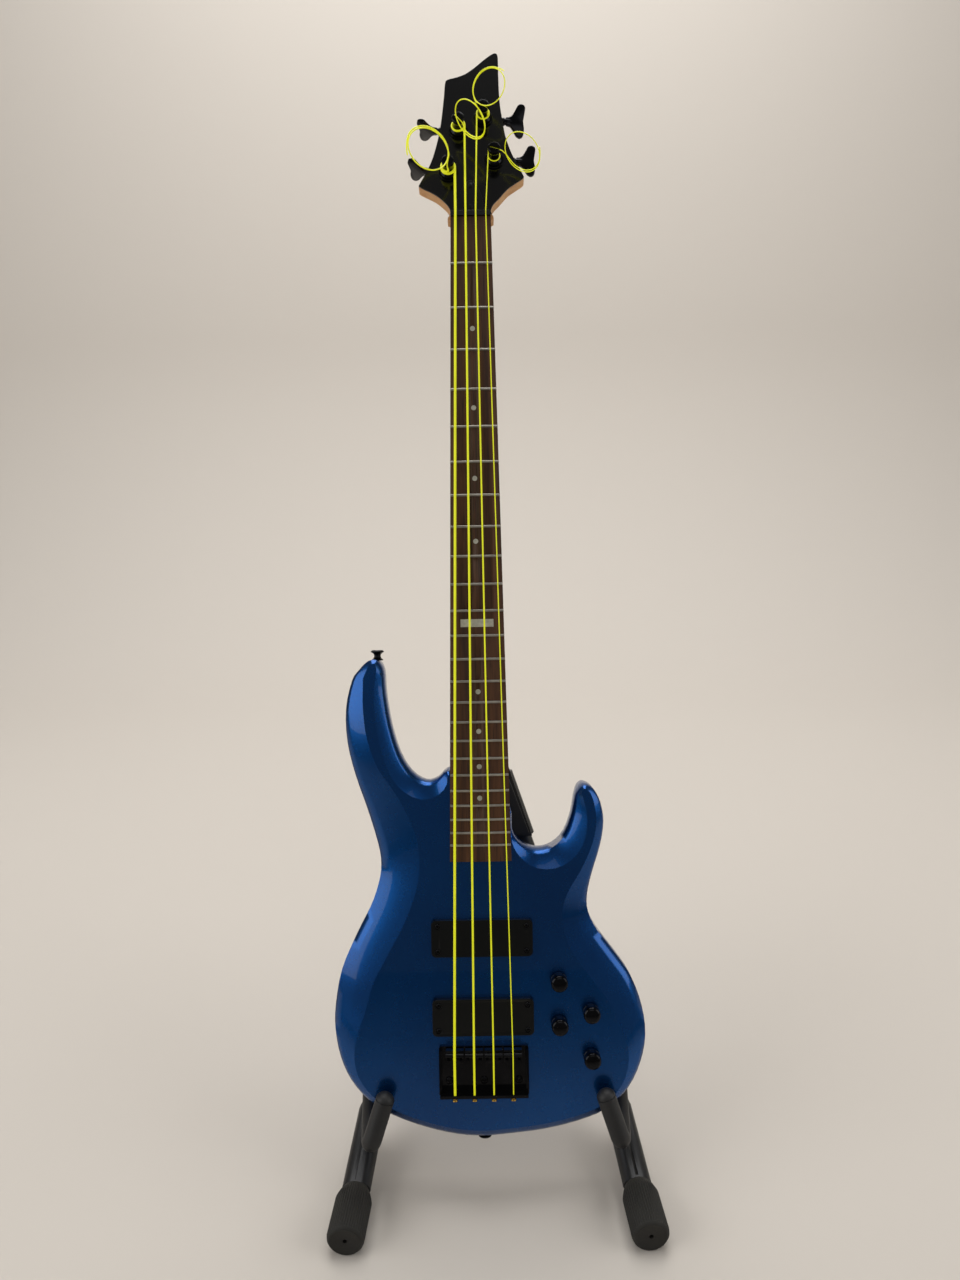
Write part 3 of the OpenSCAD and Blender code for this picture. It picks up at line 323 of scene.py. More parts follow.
class Paint(Enum):
    """Every finish on the object."""

    # Sprayed metallic basecoat under clear lacquer: deep in the shade, cyan where it turns to the light
    BODY = MetallicLacquer("metallic_blue_lacquer", "#044789", "#033a76", roughness=0.27, spread=0.02,
                           metallic=0.9, coat=0.35, relief_mm=0.004, cloud_mm=160.0)
    # Sanded maple under a thin satin finish: warm, with faint long grain and a soft sheen
    MAPLE = Wood("satin_maple", "#c99a63", "#b9854f", roughness=0.42, spread=0.05, pore="#a06a3a",
                 relief_mm=0.01)
    # Planed and oiled rosewood: brown bands with dark open pores, nearly dull
    ROSEWOOD = Wood("oiled_rosewood", "#55351f", "#331c0f", roughness=0.5, spread=0.08, ior=1.4,
                    relief_mm=0.04)
    # Polished lacquer on a thin veneer: a black mirror with hardly any waviness
    GLOSS_BLACK = Finish("polished_black_lacquer", "#0b0b0c", "#070708", roughness=0.14, spread=0.03,
                         speckle_mm=6.0, relief_mm=0.004)
    # Drawn nickel silver, worn by strings and fingers: a greyed, softly blurred shine
    NICKEL = Finish("nickel_silver", "#aaa59b", "#938e85", roughness=0.3, spread=0.05, metallic=1.0,
                    cloud_mm=6.0, relief_mm=0.004)
    # Turned and zinc-plated steel of the inner parts: grey with uneven gloss
    STEEL = Finish("bare_steel", "#9a9a98", "#7d7c7a", roughness=0.38, metallic=1.0, cloud_mm=8.0)
    # Cast pearloid, sanded flush with the board: pale clouds a few millimetres wide
    PEARL = Finish("pearl_inlay", "#b6b2a7", "#9d9a90", roughness=0.4, spread=0.05, coat=0.3, cloud_mm=3.0,
                   relief_mm=0.005)
    # Black nickel plated on polished castings: near black with crisp highlights on every edge
    BLACK_PLATE = Finish("black_nickel_plate", "#1c1c1f", "#131315", roughness=0.14, spread=0.04,
                         metallic=0.85, cloud_mm=14.0, speckle_mm=0.8, relief_mm=0.004)
    # ABS moulded in a finely eroded tool: deep black under a thin broad sheen
    PICKUP = Finish("moulded_abs", "#080909", "#050606", roughness=0.3, spread=0.05, ior=1.35, speckle_mm=0.5,
                    relief_mm=0.01)
    # Wound steel string in a fluorescent polymer coat: ridges across it, and a painted glow that makes it
    # brighter than its surround
    STRING = Winding("neon_coated_winding", "#f2f41c", "#e2e610", roughness=0.35, spread=0.05, relief_mm=0.06,
                     cloud_mm=20.0)
    # Turned brass ball ends: a small dull golden glint
    BRASS = Finish("brass", "#a5813b", "#8a6a2e", roughness=0.32, metallic=1.0, cloud_mm=5.0)
    # Baked powder coat on steel tube: black with a fine orange peel that breaks up the highlight
    STAND = Finish("black_powder_coat", "#141415", "#0e0e0f", roughness=0.42, spread=0.08, speckle_mm=0.7,
                   relief_mm=0.03)
    # Moulded rubber, a little dusty: brownish black and dull
    RUBBER = Finish("moulded_rubber", "#1c1a14", "#14120e", roughness=0.72, spread=0.08, speckle_mm=0.8,
                    relief_mm=0.05, cloud_mm=18.0)
    # Extruded closed-cell foam: black with a soft skin that small cells dimple
    FOAM = FoamSkin("closed_cell_foam", "#141415", "#0d0d0e", roughness=0.55, spread=0.08, relief_mm=0.05)

    def material(self) -> bpy.types.Material:
        """Returns the finish's material, built once."""
        return bpy.data.materials.get(self.value.name) or self.value.build()


# ------------------------------------------------------------------ mesh helpers

# Distance in millimetres and angle in degrees below which points and faces of a CAD mesh are one, and the
# cosine above which a face counts as flat
SAME_POINT_MM = 0.002
SAME_FACE = 0.3
FLAT = 0.9995


def place(piece: bpy.types.Object, paint: Paint, body: str, *nodes: str) -> bpy.types.Object:
    """Dresses a finished piece and hands it to the body that carries it.

    Args:
        piece: Object whose mesh or curve is already in place.
        paint: Its finish.
        body: CAD body that it moves with.
        *nodes: CAD nodes that it stands for.

    Returns:
        The same piece.
    """
    piece.data.materials.clear()
    piece.data.materials.append(paint.material())
    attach(piece, body)
    if nodes:
        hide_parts(*nodes)
    log.info("%s rides on %s", piece.name, body)
    return piece


def linked(name: str, data: Any) -> bpy.types.Object:
    """Returns a new object of the scene that holds the data."""
    piece = bpy.data.objects.new(name, data)
    bpy.context.scene.collection.objects.link(piece)
    return piece


def only(items: Iterable[Any], kind: type) -> list[Any]:
    """Returns the vertices, or the edges, among what an operator made."""
    return [item for item in items if isinstance(item, kind)]


def bm_moved(bm: bmesh.types.BMesh, base: Matrix) -> bmesh.types.BMesh:
    """Returns the same bmesh after it is put into a frame, with its faces outwards."""
    bmesh.ops.transform(bm, matrix=base, verts=bm.verts)
    bmesh.ops.recalc_face_normals(bm, faces=bm.faces)
    return bm


def mesh_object(name: str, bm: bmesh.types.BMesh, smooth: float = 35.0) -> bpy.types.Object:
    """Turns a bmesh into an object at the origin.

    Args:
        name: Name of the object.
        bm: Finished bmesh, which is freed.
        smooth: Angle in degrees past which an edge stays sharp.

    Returns:
        The object.
    """
    mesh = bpy.data.meshes.new(name)
    bm.to_mesh(mesh)
    bm.free()
    mesh.polygons.foreach_set("use_smooth", [True] * len(mesh.polygons))
    mesh.set_sharp_from_angle(angle=math.radians(smooth))
    return linked(name, mesh)


def add_bevel(piece: bpy.types.Object, width_mm: float, angle: float, segments: int = 2) -> None:
    """Rounds a piece's sharp edges with a modifier.

    Args:
        piece: The piece.
        width_mm: Width of the rounding in millimetres.
        angle: Angle in degrees past which an edge is rounded.
        segments: Faces across the rounding.
    """
    bevel = piece.modifiers.new("Rounded edges", "BEVEL")
    bevel.width = width_mm * MM
    bevel.segments = segments
    bevel.limit_method = "ANGLE"
    bevel.angle_limit = math.radians(angle)
    bevel.harden_normals = True


def refined(node: str, paint: Paint, bevel_mm: float = 0.0, smooth: float = 35.0,
            shift: Optional[Matrix] = None) -> bpy.types.Object:
    """Stands a merged, smoothly shaded copy in for a CAD node.

    Args:
        node: Name of the CAD node.
        paint: Its finish.
        bevel_mm: Width of its edges' rounding in millimetres, or none.
        smooth: Angle in degrees past which an edge stays sharp.
        shift: Turn of the copy about its own axis, or none.

    Returns:
        The copy, which replaces the node.
    """
    source = frame["nodes"][node]
    bm = bmesh.new()
    bm.from_mesh(source.data)
    bmesh.ops.remove_doubles(bm, verts=bm.verts, dist=SAME_POINT_MM * MM)
    bmesh.ops.dissolve_limit(bm, angle_limit=math.radians(SAME_FACE), verts=bm.verts, edges=bm.edges)
    if shift:
        bmesh.ops.transform(bm, matrix=shift, verts=bm.verts)
    piece = mesh_object(node + "_dressed", bm, smooth)
    if bevel_mm:
        add_bevel(piece, bevel_mm, smooth)
    return place(piece, paint, source["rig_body"], node)


def crease(piece: bpy.types.Object, facing: Vector) -> None:
    """Keeps the edge between a flat face and the carved faces beside it crisp.

    Args:
        piece: The piece.
        facing: Direction that the flat face looks in.
    """
    mesh = piece.data
    flat: dict[int, int] = {}
    for polygon in mesh.polygons:
        if polygon.normal.dot(facing) > FLAT:
            for edge in polygon.edge_keys:
                flat[edge] = flat.get(edge, 0) + 1
    for edge in mesh.edges:
        if flat.get(tuple(sorted(edge.vertices)), 0) == 1:
            edge.use_edge_sharp = True


def wire(name: str, points: Sequence[Vector], radius_mm: float, resolution: int = 5) -> bpy.types.Object:
    """Makes a round wire along points with a curve.

    Args:
        name: Name of the object.
        points: Places in metres, in the part's frame.
        radius_mm: Radius in millimetres.
        resolution: Bevel resolution of the round section.

    Returns:
        The curve object.
    """
    curve = bpy.data.curves.new(name, "CURVE")
    curve.dimensions = "3D"
    curve.bevel_depth = radius_mm * MM
    curve.bevel_resolution = resolution
    curve.use_fill_caps = True
    spline = curve.splines.new("POLY")
    spline.points.add(len(points) - 1)
    for spot, point in zip(spline.points, points):
        spot.co = (*point, 1.0)
    spline.use_smooth = True
    return linked(name, curve)


# ------------------------------------------------------------------ strings and tuners


class Side(Enum):
    """Side of the guitar or of its stand, by the sign of x."""

    BASS = -1
    TREBLE = 1

    @property
    def word(self) -> str:
        """The side's name as the viewer sees it."""
        return "left" if self is Side.BASS else "right"


@dataclass(frozen=True)
class Ring:
    """The floating turns of a loose string end, in millimetres and degrees, seen from its post.

    Its centre has z out of the headstock's face, and its axis leans by lean towards the heading
    towards. The wire joins it at start and runs on for turns, negative when it runs clockwise. Its
    radius drifts by the share spread, from the phase on, as a springy coil's does.
    """

    centre: Point
    lean: float
    towards: float
    radius: float
    start: float
    turns: float
    spread: float = 0.03
    phase: float = 46.0


@dataclass(frozen=True)
class Course:
    """One string with its tuner and its loose end, in millimetres and degrees.

    The loose end is thinner than the string, because its outer winding stops at the post. It leaves
    the post's slot at tail_heading with the stiffness pull, and swings on to its ring.
    """

    name: str
    order: int
    thickness: float
    end_thickness: float
    post_x: float
    post_z: float
    side: Side
    key_tilt: float
    key_rest: float
    slot_heading: float
    tail_heading: float
    pull: tuple[float, float]
    ring: Ring

    @property
    def radius(self) -> float:
        """Half the string's thickness."""
        return self.thickness / 2

    @property
    def nut_x(self) -> float:
        """Place across the nut."""
        return (self.order - MIDDLE_COURSE) * NUT_SPACING

    @property
    def bridge_x(self) -> float:
        """Place across the bridge."""
        return (self.order - MIDDLE_COURSE) * BRIDGE_SPACING

    @property
    def post(self) -> Matrix:
        """Frame of the tuner, z out of the headstock's face."""
        return out_of_face(ON_HEAD, self.post_x, self.post_z)


COURSES = (
    Course("e", 0, 2.67, 1.4, -22.5, 47.2, Side.BASS, -10, 94, 135, 80, (13, 10),
           Ring((-19.3, 3.5, 33.4), 26, 347, 22.5, 55, 1.47, 0.045, 149)),
    Course("a", 1, 2.16, 1.2, -11.6, 96.4, Side.BASS, -7, 97, -50, -50, (9, 9),
           Ring((12.7, -14.55, 36.1), 78, 228, 19.6, 352, 1.5)),
    Course("d", 2, 1.65, 1.1, 14.4, 110.2, Side.TREBLE, 1, 16, 75.7, 150, (7, 7),
           Ring((6.4, 12.86, 30.22), 31, 208, 18.5, -12, -1.47)),
    Course("g", 3, 1.14, 0.95, 25.2, 61.0, Side.TREBLE, -1, 1, -18, -18, (20, 20),
           Ring((28.5, -10.4, 27.2), 71, 237, 20.1, 348, 1.42)),
)


def bend(start: Vector, leave: Vector, end: Vector, arrive: Vector, steps: int) -> list[Vector]:
    """Joins two places by one smooth bend.

    Args:
        start: First place.
        leave: Direction there, as long as the wire is stiff.
        end: Last place.
        arrive: Direction there, as long as the wire is stiff.
        steps: Number of pieces.

    Returns:
        Points of the bend, without the last.
    """
    path = []
    for i in range(steps):
        t = i / steps
        path.append(start * (2 * t ** 3 - 3 * t ** 2 + 1) + leave * (t ** 3 - 2 * t ** 2 + t)
                    + end * (3 * t ** 2 - 2 * t ** 3) + arrive * (t ** 3 - t ** 2))
    return path


def catmull(points: Sequence[Vector], steps: int) -> list[Vector]:
    """Rounds a path through points.

    Args:
        points: Points that the path passes through.
        steps: Number of pieces between two points.

    Returns:
        Points of the smooth path, with the first and last point kept.
    """
    ends = [points[0] * 2 - points[1], *points, points[-1] * 2 - points[-2]]
    path: list[Vector] = []
    for a, b, c, d in zip(ends, ends[1:], ends[2:], ends[3:]):
        for i in range(steps):
            t = i / steps
            path.append(0.5 * (2 * b + (c - a) * t + (2 * a - 5 * b + 4 * c - d) * t * t
                               + (3 * b - a - 3 * c + d) * t ** 3))
    path.append(points[-1].copy())
    return path


@dataclass
class StringSet:
    """Four strings from the bridge to their posts, their wound turns and their loose ends."""

    anchor_y: float = -13.0
    action: float = 16.0
    nut_y: float = -12.9
    anchor_back: float = 44.2
    spool_radius: float = 5.5
    spool_z: float = 6.8
    tail_z: float = 19.4
    wrap_gap: float = 0.02
    turn_steps: int = 30
    climb_pull: float = 9.0
    climb_rise: float = 6.0
    climb_steps: int = 14
    thinning_steps: int = 9
    slot_start: float = -3.0
    slot_pull: float = 15.0
    exit_reach: float = 6.0
    exit_gap: float = 0.1
    exit_steps: int = 12
    coil_rise: float = 1.2
    flick_from: float = 0.94
    flick: float = 0.12
    flick_power: float = 1.6
    round_steps: int = 3
    swell_rate: float = 0.5

    def arrival(self, course: Course) -> Vector:
        """Returns where a string meets its post, in the guitar's frame."""
        x = course.post_x - course.side.value * (self.spool_radius + course.radius)
        local = IN_GUITAR.inverted() @ ON_HEAD
        return local @ Vector((x, -self.spool_z, course.post_z))

    def speaking(self, course: Course) -> bpy.types.Object:
        """Builds the stretched part of a string, bent smoothly over its saddle and nut."""
        anchor = Vector((course.bridge_x, self.anchor_y, SADDLE_Z - self.anchor_back))
        saddle = Vector((course.bridge_x, -self.action, SADDLE_Z))
        nut = Vector((course.nut_x, self.nut_y, NUT_Z + NUT_LENGTH))
        post = self.arrival(course)
        along = (nut - saddle).normalized()
        points = [anchor, saddle, nut - along * NUT_LENGTH, nut, post]
        return wire("string_" + course.name, [IN_GUITAR @ p for p in points], course.radius)

    def through_slot(self, course: Course, reach: float) -> Vector:
        """Returns a point of the wire in the post's slot, so far from the post's axis."""
        heading = math.radians(course.tail_heading)
        return Vector((reach * math.cos(heading), reach * math.sin(heading), self.tail_z))

    def wound(self, course: Course) -> bpy.types.Object:
        """Builds the turn round a post, the climb beside it and the wire through its slot.

        Args:
            course: The string.

        Returns:
            One wire that thins from the string's thickness to its end's.
        """
        round_post = self.spool_radius + course.radius + self.wrap_gap
        start = 180 if course.side is Side.TREBLE else 0
        sense = -course.side.value
        sweep_angle = 360 + (sense * (course.tail_heading + 180 - start)) % 360
        count = int(sweep_angle / 360 * self.turn_steps)
        points, thick = [], []
        for i in range(count + 1):
            angle = math.radians(start + sense * sweep_angle * i / count)
            height = self.spool_z + (course.thickness + self.wrap_gap) * sweep_angle / 360 * i / count
            points.append(Vector((round_post * math.cos(angle), round_post * math.sin(angle), height)))
            thick.append(1.0)
        end = points.pop()
        onward = (end - points[-1]).normalized()
        inner = self.through_slot(course, self.slot_start)
        through = self.through_slot(course, self.slot_start + self.slot_pull) - inner
        leave = onward * self.climb_pull + Vector((0, 0, self.climb_rise))
        climb = bend(end, leave, inner, through, self.climb_steps)
        out = [inner] + [self.through_slot(course, reach) for reach in (0, self.exit_reach - self.exit_gap)]
        thin = course.end_thickness / course.thickness
        thinning = [1 + (thin - 1) * min(1.0, i / self.thinning_steps) for i in range(len(climb))]
        thick = thick[:-1] + thinning + [thin] * len(out)
        points += climb + out
        piece = wire("wrap_" + course.name, [course.post @ p for p in points], course.radius)
        piece.data.splines[0].points.foreach_set("radius", thick)
        return piece

    def loop_path(self, course: Course) -> list[Vector]:
        """Returns the path of a loose end: out of the slot and round its ring, to an end in the air.

        Args:
            course: The string.

        Returns:
            Points in metres, from the exit on.
        """
        ring = course.ring
        plane = moved(*ring.centre) @ turned(ring.towards, "Z") @ turned(ring.lean, "Y")
        sense = math.copysign(1, ring.turns)
        count = int(abs(ring.turns) * self.turn_steps)
        coil = []
        for i in range(count + 1):
            share = i / count
            angle = math.radians(ring.start) + sense * 2 * math.pi * i / self.turn_steps
            swell = 1 + ring.spread * math.sin(angle * self.swell_rate + math.radians(ring.phase))
            late = max(0.0, (share - self.flick_from) / (1 - self.flick_from))
            radius = ring.radius * (swell + self.flick * late ** self.flick_power)
            lift = self.coil_rise * (2 * share - 1)
            coil.append(plane @ Vector((radius * math.cos(angle), radius * math.sin(angle), lift)))
        leave, arrive = course.pull
        outlet = self.through_slot(course, self.exit_reach)
        ahead = (outlet - self.through_slot(course, 0)).normalized()
        onward = (coil[1] - coil[0]).normalized()
        joint = bend(outlet, ahead * leave, coil[0], onward * arrive, self.exit_steps)
        return catmull([course.post @ p for p in joint + coil], self.round_steps)

    def loose_end(self, course: Course) -> None:
        """Builds one loose string end and puts it on its post, in place of the CAD node."""
        path = self.loop_path(course)
        piece = wire("string_end_" + course.name + "_wire", path, course.end_thickness / 2)
        place(piece, Paint.STRING, "tuner_post_" + course.name, "string_end_" + course.name)

    def build(self) -> None:
        """Builds every string."""
        for course in COURSES:
            self.loose_end(course)
            place(self.wound(course), Paint.STRING, "tuner_post_" + course.name, "string_wrap_" + course.name)
            place(self.speaking(course), Paint.STRING, "guitar", "strings")


def lathe(profile: Sequence[tuple[float, float]], base: Matrix, steps: int = 64) -> bmesh.types.BMesh:
    """Spins a half-section into a closed round shape.

    Args:
        profile: Radius and height of each point in millimetres, from the axis and back to it.
        base: Frame whose z axis the shape turns about.
        steps: Number of steps in the full turn.

    Returns:
        The shape, closed, with its faces outwards.
    """
    bm = bmesh.new()
    verts = [bm.verts.new((radius, 0, height)) for radius, height in profile]
    edges = [bm.edges.new(pair) for pair in zip(verts, verts[1:])]
    bmesh.ops.spin(bm, geom=verts + edges, cent=(0, 0, 0), axis=(0, 0, 1), dvec=(0, 0, 0),
                   angle=2 * math.pi, steps=steps, use_merge=True, use_normal_flip=False, use_duplicate=False)
    bmesh.ops.remove_doubles(bm, verts=bm.verts, dist=0.001)
    return bm_moved(bm, base)


def bar(radius: float, low: float, high: float) -> list[tuple[float, float]]:
    """Returns the half-section of a plain round bar between two heights."""
    return [(0, low), (radius, low), (radius, high), (0, high)]


def sweep(path: Sequence[Vector], radii: Sequence[float], base: Matrix, steps: int = 40) -> bmesh.types.BMesh:
    """Extrudes a circle along a path, ring by ring.

    Args:
        path: Centres of the rings in millimetres.
        radii: Radius at each centre.
        base: Frame that the path is given in.
        steps: Corners of the circle.

    Returns:
        The tube, closed at both ends.
    """
    frames = []
    up = Vector((1, 0, 0))
    for i, centre in enumerate(path):
        ahead = (path[min(i + 1, len(path) - 1)] - path[max(i - 1, 0)]).normalized()
        side = (up - ahead * up.dot(ahead)).normalized()
        across = ahead.cross(side)
        turn = Matrix((side, across, ahead)).transposed().to_4x4()
        frames.append(Matrix.Translation(centre) @ turn @ Matrix.Scale(radii[i], 4))
        up = side
    bm = bmesh.new()
    ring = bmesh.ops.create_circle(bm, cap_ends=True, segments=steps, radius=1.0)["verts"]
    bmesh.ops.transform(bm, matrix=frames[0], verts=ring)
    edges = list({edge for vert in ring for edge in vert.link_edges})
    for before, after in zip(frames, frames[1:]):
        made = bmesh.ops.extrude_edge_only(bm, edges=edges)["geom"]
        ring = only(made, bmesh.types.BMVert)
        edges = [edge for edge in only(made, bmesh.types.BMEdge) if all(vert in ring for vert in edge.verts)]
        bmesh.ops.transform(bm, matrix=after @ before.inverted(), verts=ring)
    bmesh.ops.edgeloop_fill(bm, edges=edges)
    return bm_moved(bm, base)


def slab(outline: Sequence[tuple[float, float]], thickness: float, base: Matrix, round_mm: float,
         steps: int = 4) -> bmesh.types.BMesh:
    """Makes a plate from a smooth closed outline.

    Args:
        outline: Corners that the outline is rounded through, in millimetres.
        thickness: Thickness of the plate along z, centred on it.
        base: Frame of the plate.
        round_mm: Rounding of the rims.
        steps: Points between two corners.

    Returns:
        The plate, closed, with its faces outwards.
    """
    corners = [Vector((x, y, 0)) for x, y in outline]
    loop = catmull([corners[-1], *corners, corners[0], corners[1]], steps)
    bm = bmesh.new()
    verts = [bm.verts.new(point - Vector((0, 0, thickness / 2))) for point in loop[steps:-steps - 1]]
    face = bm.faces.new(verts)
    made = bmesh.ops.extrude_face_region(bm, geom=[face])["geom"]
    bmesh.ops.translate(bm, vec=(0, 0, thickness), verts=only(made, bmesh.types.BMVert))
    rims = [edge for edge in bm.edges if abs(edge.verts[0].co.z - edge.verts[1].co.z) < 1e-6]
    bmesh.ops.bevel(bm, geom=rims, offset=round_mm, offset_type="OFFSET", segments=3, profile=0.5,
                    affect="EDGES", material=-1, clamp_overlap=True)
    return bm_moved(bm, base)


def joined(parts: Iterable[bmesh.types.BMesh]) -> bmesh.types.BMesh:
    """Puts several closed shapes into one bmesh and frees them."""
    whole = bmesh.new()
    for part in parts:
        mesh = bpy.data.meshes.new("part")
        part.to_mesh(mesh)
        part.free()
        whole.from_mesh(mesh)
        bpy.data.meshes.remove(mesh)
    return whole


@dataclass(frozen=True)
class ScrewSize:
    """Sizes of a cross-head screw with a domed head, in millimetres."""

    head_radius: float
    head_height: float
    shank_radius: float
    length: float
    cross: float
    arm_share: float = 0.26
    cross_depth: float = 0.2
    cross_dip: float = 0.1
    dome: tuple[tuple[float, float], ...] = ((1.0, 0.0), (1.0, 0.4), (0.88, 0.8))
    flat_share: float = 0.7
    cross_rim: float = 1.06

    def cross_reach(self, angle: float) -> float:
        """Returns how far the cross recess reaches from the axis at an angle in radians."""
        quarter = math.pi / 2
        away = abs((angle + quarter / 2) % quarter - quarter / 2)
        return min(self.cross, self.arm_share * self.cross / max(math.sin(away), 0.01))


def screw(base: Matrix, size: ScrewSize) -> bmesh.types.BMesh:
    """Makes a screw.

    Args:
        base: Frame at the head's seat, z outwards.
        size: The screw's sizes.

    Returns:
        The screw, closed.
    """
    head, height, cross, floor = size.head_radius, size.head_height, size.cross, -size.cross_depth
    shank = [(0, -size.length), (size.shank_radius, -size.length), (size.shank_radius, 0)]
    dome = [(head * share, height * rise) for share, rise in size.dome]
    flat = max(head * size.flat_share, cross * size.cross_rim)
    recess = [(cross, height), (cross, floor), (0, floor - size.cross_dip)]
    bm = lathe(shank + dome + [(flat, height)] + recess, Matrix(), 72)
    for vert in bm.verts:
        if abs(vert.co.xy.length - cross) < cross * 0.001 and vert.co.z > floor - 0.05:
            vert.co.xy *= size.cross_reach(math.atan2(vert.co.y, vert.co.x)) / cross
    return bm_moved(bm, base)


# ------------------------------------------------------------------ tuners


@dataclass
class Tuners:
    """Elephant-ear keys on their shafts."""

    gear_z: float = -19.5
    worm_offset: float = 12.0
    reach: float = 38.0
    ear_thickness: float = 5.0
    ear_round: float = 1.7
    collar: tuple[tuple[float, float], ...] = (
        (0, 20.7), (3.4, 20.7), (4.1, 21.3), (4.1, 23.0), (3.4, 23.8), (3.2, 27), (2.6, 31), (0, 32))
    shaft_radius: float = 2.0
    shaft_from: float = -5.2
    shaft_to: float = 24.0
    ear: tuple[tuple[float, float], ...] = (
        (-13.5, -3.6), (-9, -5.4), (-5.5, -10.2), (-2.5, -15.2), (1.6, -17.3), (5.2, -15), (6.4, -8),
        (5.5, 0), (6.8, 8), (7.5, 14.2), (4.6, 17.3), (0, 16.6), (-3.2, 11.4), (-6.5, 6.2), (-10, 4.2),
        (-13.5, 3.6))

    def key_frame(self, course: Course) -> Matrix:
        """Returns the frame whose x axis is the key's shaft."""
        flip = Matrix.Scale(-1, 4, (1, 0, 0)) if course.side is Side.BASS else Matrix()
        return course.post @ flip @ turned(-course.key_tilt, "Z") @ moved(0, self.worm_offset, self.gear_z)

    def key(self, course: Course) -> bpy.types.Object:
        """Builds one key: the flared ear, its collar and the shaft into the housing."""
        base = self.key_frame(course)
        along = base @ turned(90, "Y")
        ear_place = base @ turned(course.key_rest, "X") @ moved(self.reach, 0, 0)
        ear = slab(self.ear, self.ear_thickness, ear_place, self.ear_round)
        collar = lathe(self.collar, along, 40)
        rod = lathe(bar(self.shaft_radius, self.shaft_from, self.shaft_to), along, 32)
        return mesh_object("key_" + course.name, joined([ear, collar, rod]), 50)

    def post(self, course: Course) -> bpy.types.Object:
        """Dresses one post, turned so that its slot points where the loose end leaves."""
        turn = turned(course.tail_heading - course.slot_heading, "Z")
        return refined("tuner_post_" + course.name, Paint.BLACK_PLATE, 0.3,
                       shift=course.post @ turn @ course.post.inverted())

    def build(self) -> None:
        """Builds the four keys and dresses the four posts."""
        for course in COURSES:
            place(self.key(course), Paint.BLACK_PLATE, "tuner_key_" + course.name, "tuner_key_" + course.name)
            self.post(course)


# ------------------------------------------------------------------ screws and ball ends


@dataclass
class Hardware:
    """Screws that show on the front, and the ball ends that hold the strings."""

    pickup_screw: ScrewSize = ScrewSize(2.3, 1.0, 1.5, 18.0, 1.5)
    pickup_middles: tuple[float, ...] = (118.3, 36.3)
    pickup_reach: tuple[float, float] = (46.0, 13.0)
    pickup_seat: float = 5.5
    bridge_screw: ScrewSize = ScrewSize(3.8, 1.8, 2.0, 30.0, 2.2)
    bridge_across: tuple[float, ...] = (-36.0, 0.0, 36.0)
    bridge_row: float = -29.0
    plate: float = 3.0
    ball_radius: float = 2.9
    ball_length: float = 3.0
    ball_rim: float = 0.5
    ball_waist: float = 0.6
    ball_overlap: float = 1.0

    def screws(self, name: str, places: Iterable[tuple[float, float]], seat: float,
               size: ScrewSize) -> bpy.types.Object:
        """Builds like screws as one piece.

        Args:
            name: Name of the piece.
            places: Each screw's place across, and along from the saddles, in millimetres.
            seat: Height of the heads' seat out of the guitar's face.
            size: The screws' sizes.

        Returns:
            The piece.
        """
        return mesh_object(name, joined(
            screw(out_of_face(IN_GUITAR, x, SADDLE_Z + z) @ moved(0, 0, seat), size) for x, z in places), 30)

    def balls(self, strings: StringSet) -> bpy.types.Object:
        """Builds the four ball ends behind the bridge."""
        r, length, rim = self.ball_radius, self.ball_length, self.ball_rim
        shape = [(0, 0), (r - rim, 0), (r, rim), (r - self.ball_waist, length / 2), (r, length - rim),
                 (r - rim, length), (0, length)]
        foot = SADDLE_Z - strings.anchor_back - length + self.ball_overlap
        bases = [IN_GUITAR @ moved(course.bridge_x, strings.anchor_y, foot) for course in COURSES]
        return mesh_object("ball_ends", joined(lathe(shape, base, 36) for base in bases), 40)

    def build(self, strings: StringSet) -> None:
        """Builds the screws and the ball ends."""
        across, up = self.pickup_reach
        corners = [(i * across, middle + j * up)
                   for middle in self.pickup_middles for i in (-1, 1) for j in (-1, 1)]
        row = [(across, self.bridge_row) for across in self.bridge_across]
        pickup = self.screws("pickup_screw_heads", corners, self.pickup_seat, self.pickup_screw)
        place(pickup, Paint.BLACK_PLATE, "guitar", "pickup_screws")
        bridge = self.screws("bridge_screw_heads", row, self.plate, self.bridge_screw)
        place(bridge, Paint.BLACK_PLATE, "guitar", "bridge_screws")
        place(self.balls(strings), Paint.BRASS, "guitar", "strings")


# ------------------------------------------------------------------ knobs


@dataclass
class Knobs:
    """Four domed control knobs on their shafts."""

    radius: float = 8.75
    height: float = 16.0
    lift: float = 2.6
    foot: tuple[float, float] = (0.6, 0.5)
    groove_z: float = 6.0
    groove_half: float = 0.3
    groove_depth: float = 0.35
    shoulder: tuple[tuple[float, float], ...] = ((0, 3.2), (0.25, 2.2), (0.95, 1.2), (2.0, 0.55), (3.4, 0.2))
    shaft: float = 3.0
    shaft_from: float = -12.0
    shaft_to: float = 4.0
    places: tuple[tuple[float, float], ...] = ((79, 72.5), (112, 39.5), (79, 27.5), (112, -7.5))

    def knob(self, index: int) -> bpy.types.Object:
        """Builds one knob: a skirt, a waist groove, a rounded shoulder and a faintly domed top."""
        across, up = self.places[index]
        base = out_of_face(IN_GUITAR, across, SADDLE_Z + up)
        r, middle, half = self.radius, self.groove_z, self.groove_half
        inset, rise = self.foot
        waist = r - self.groove_depth
        skirt = [(0, self.lift), (r - inset, self.lift), (r, self.lift + rise)]
        groove = [(r, middle - 2 * half), (waist, middle - half), (waist, middle + half),
                  (r, middle + 2 * half)]
        top = [(r - inset, self.height - drop) for inset, drop in self.shoulder] + [(0, self.height)]
        cap = lathe(skirt + groove + top, base, 72)
        shaft = lathe(bar(self.shaft, self.shaft_from, self.shaft_to), base, 32)
        return mesh_object(f"knob_{index + 1}_cap", joined([cap, shaft]), 40)

    def build(self) -> None:
        """Builds the four knobs."""
        for index in range(len(self.places)):
            name = f"knob_{index + 1}"
            place(self.knob(index), Paint.BLACK_PLATE, name, name)


# ------------------------------------------------------------------ stand


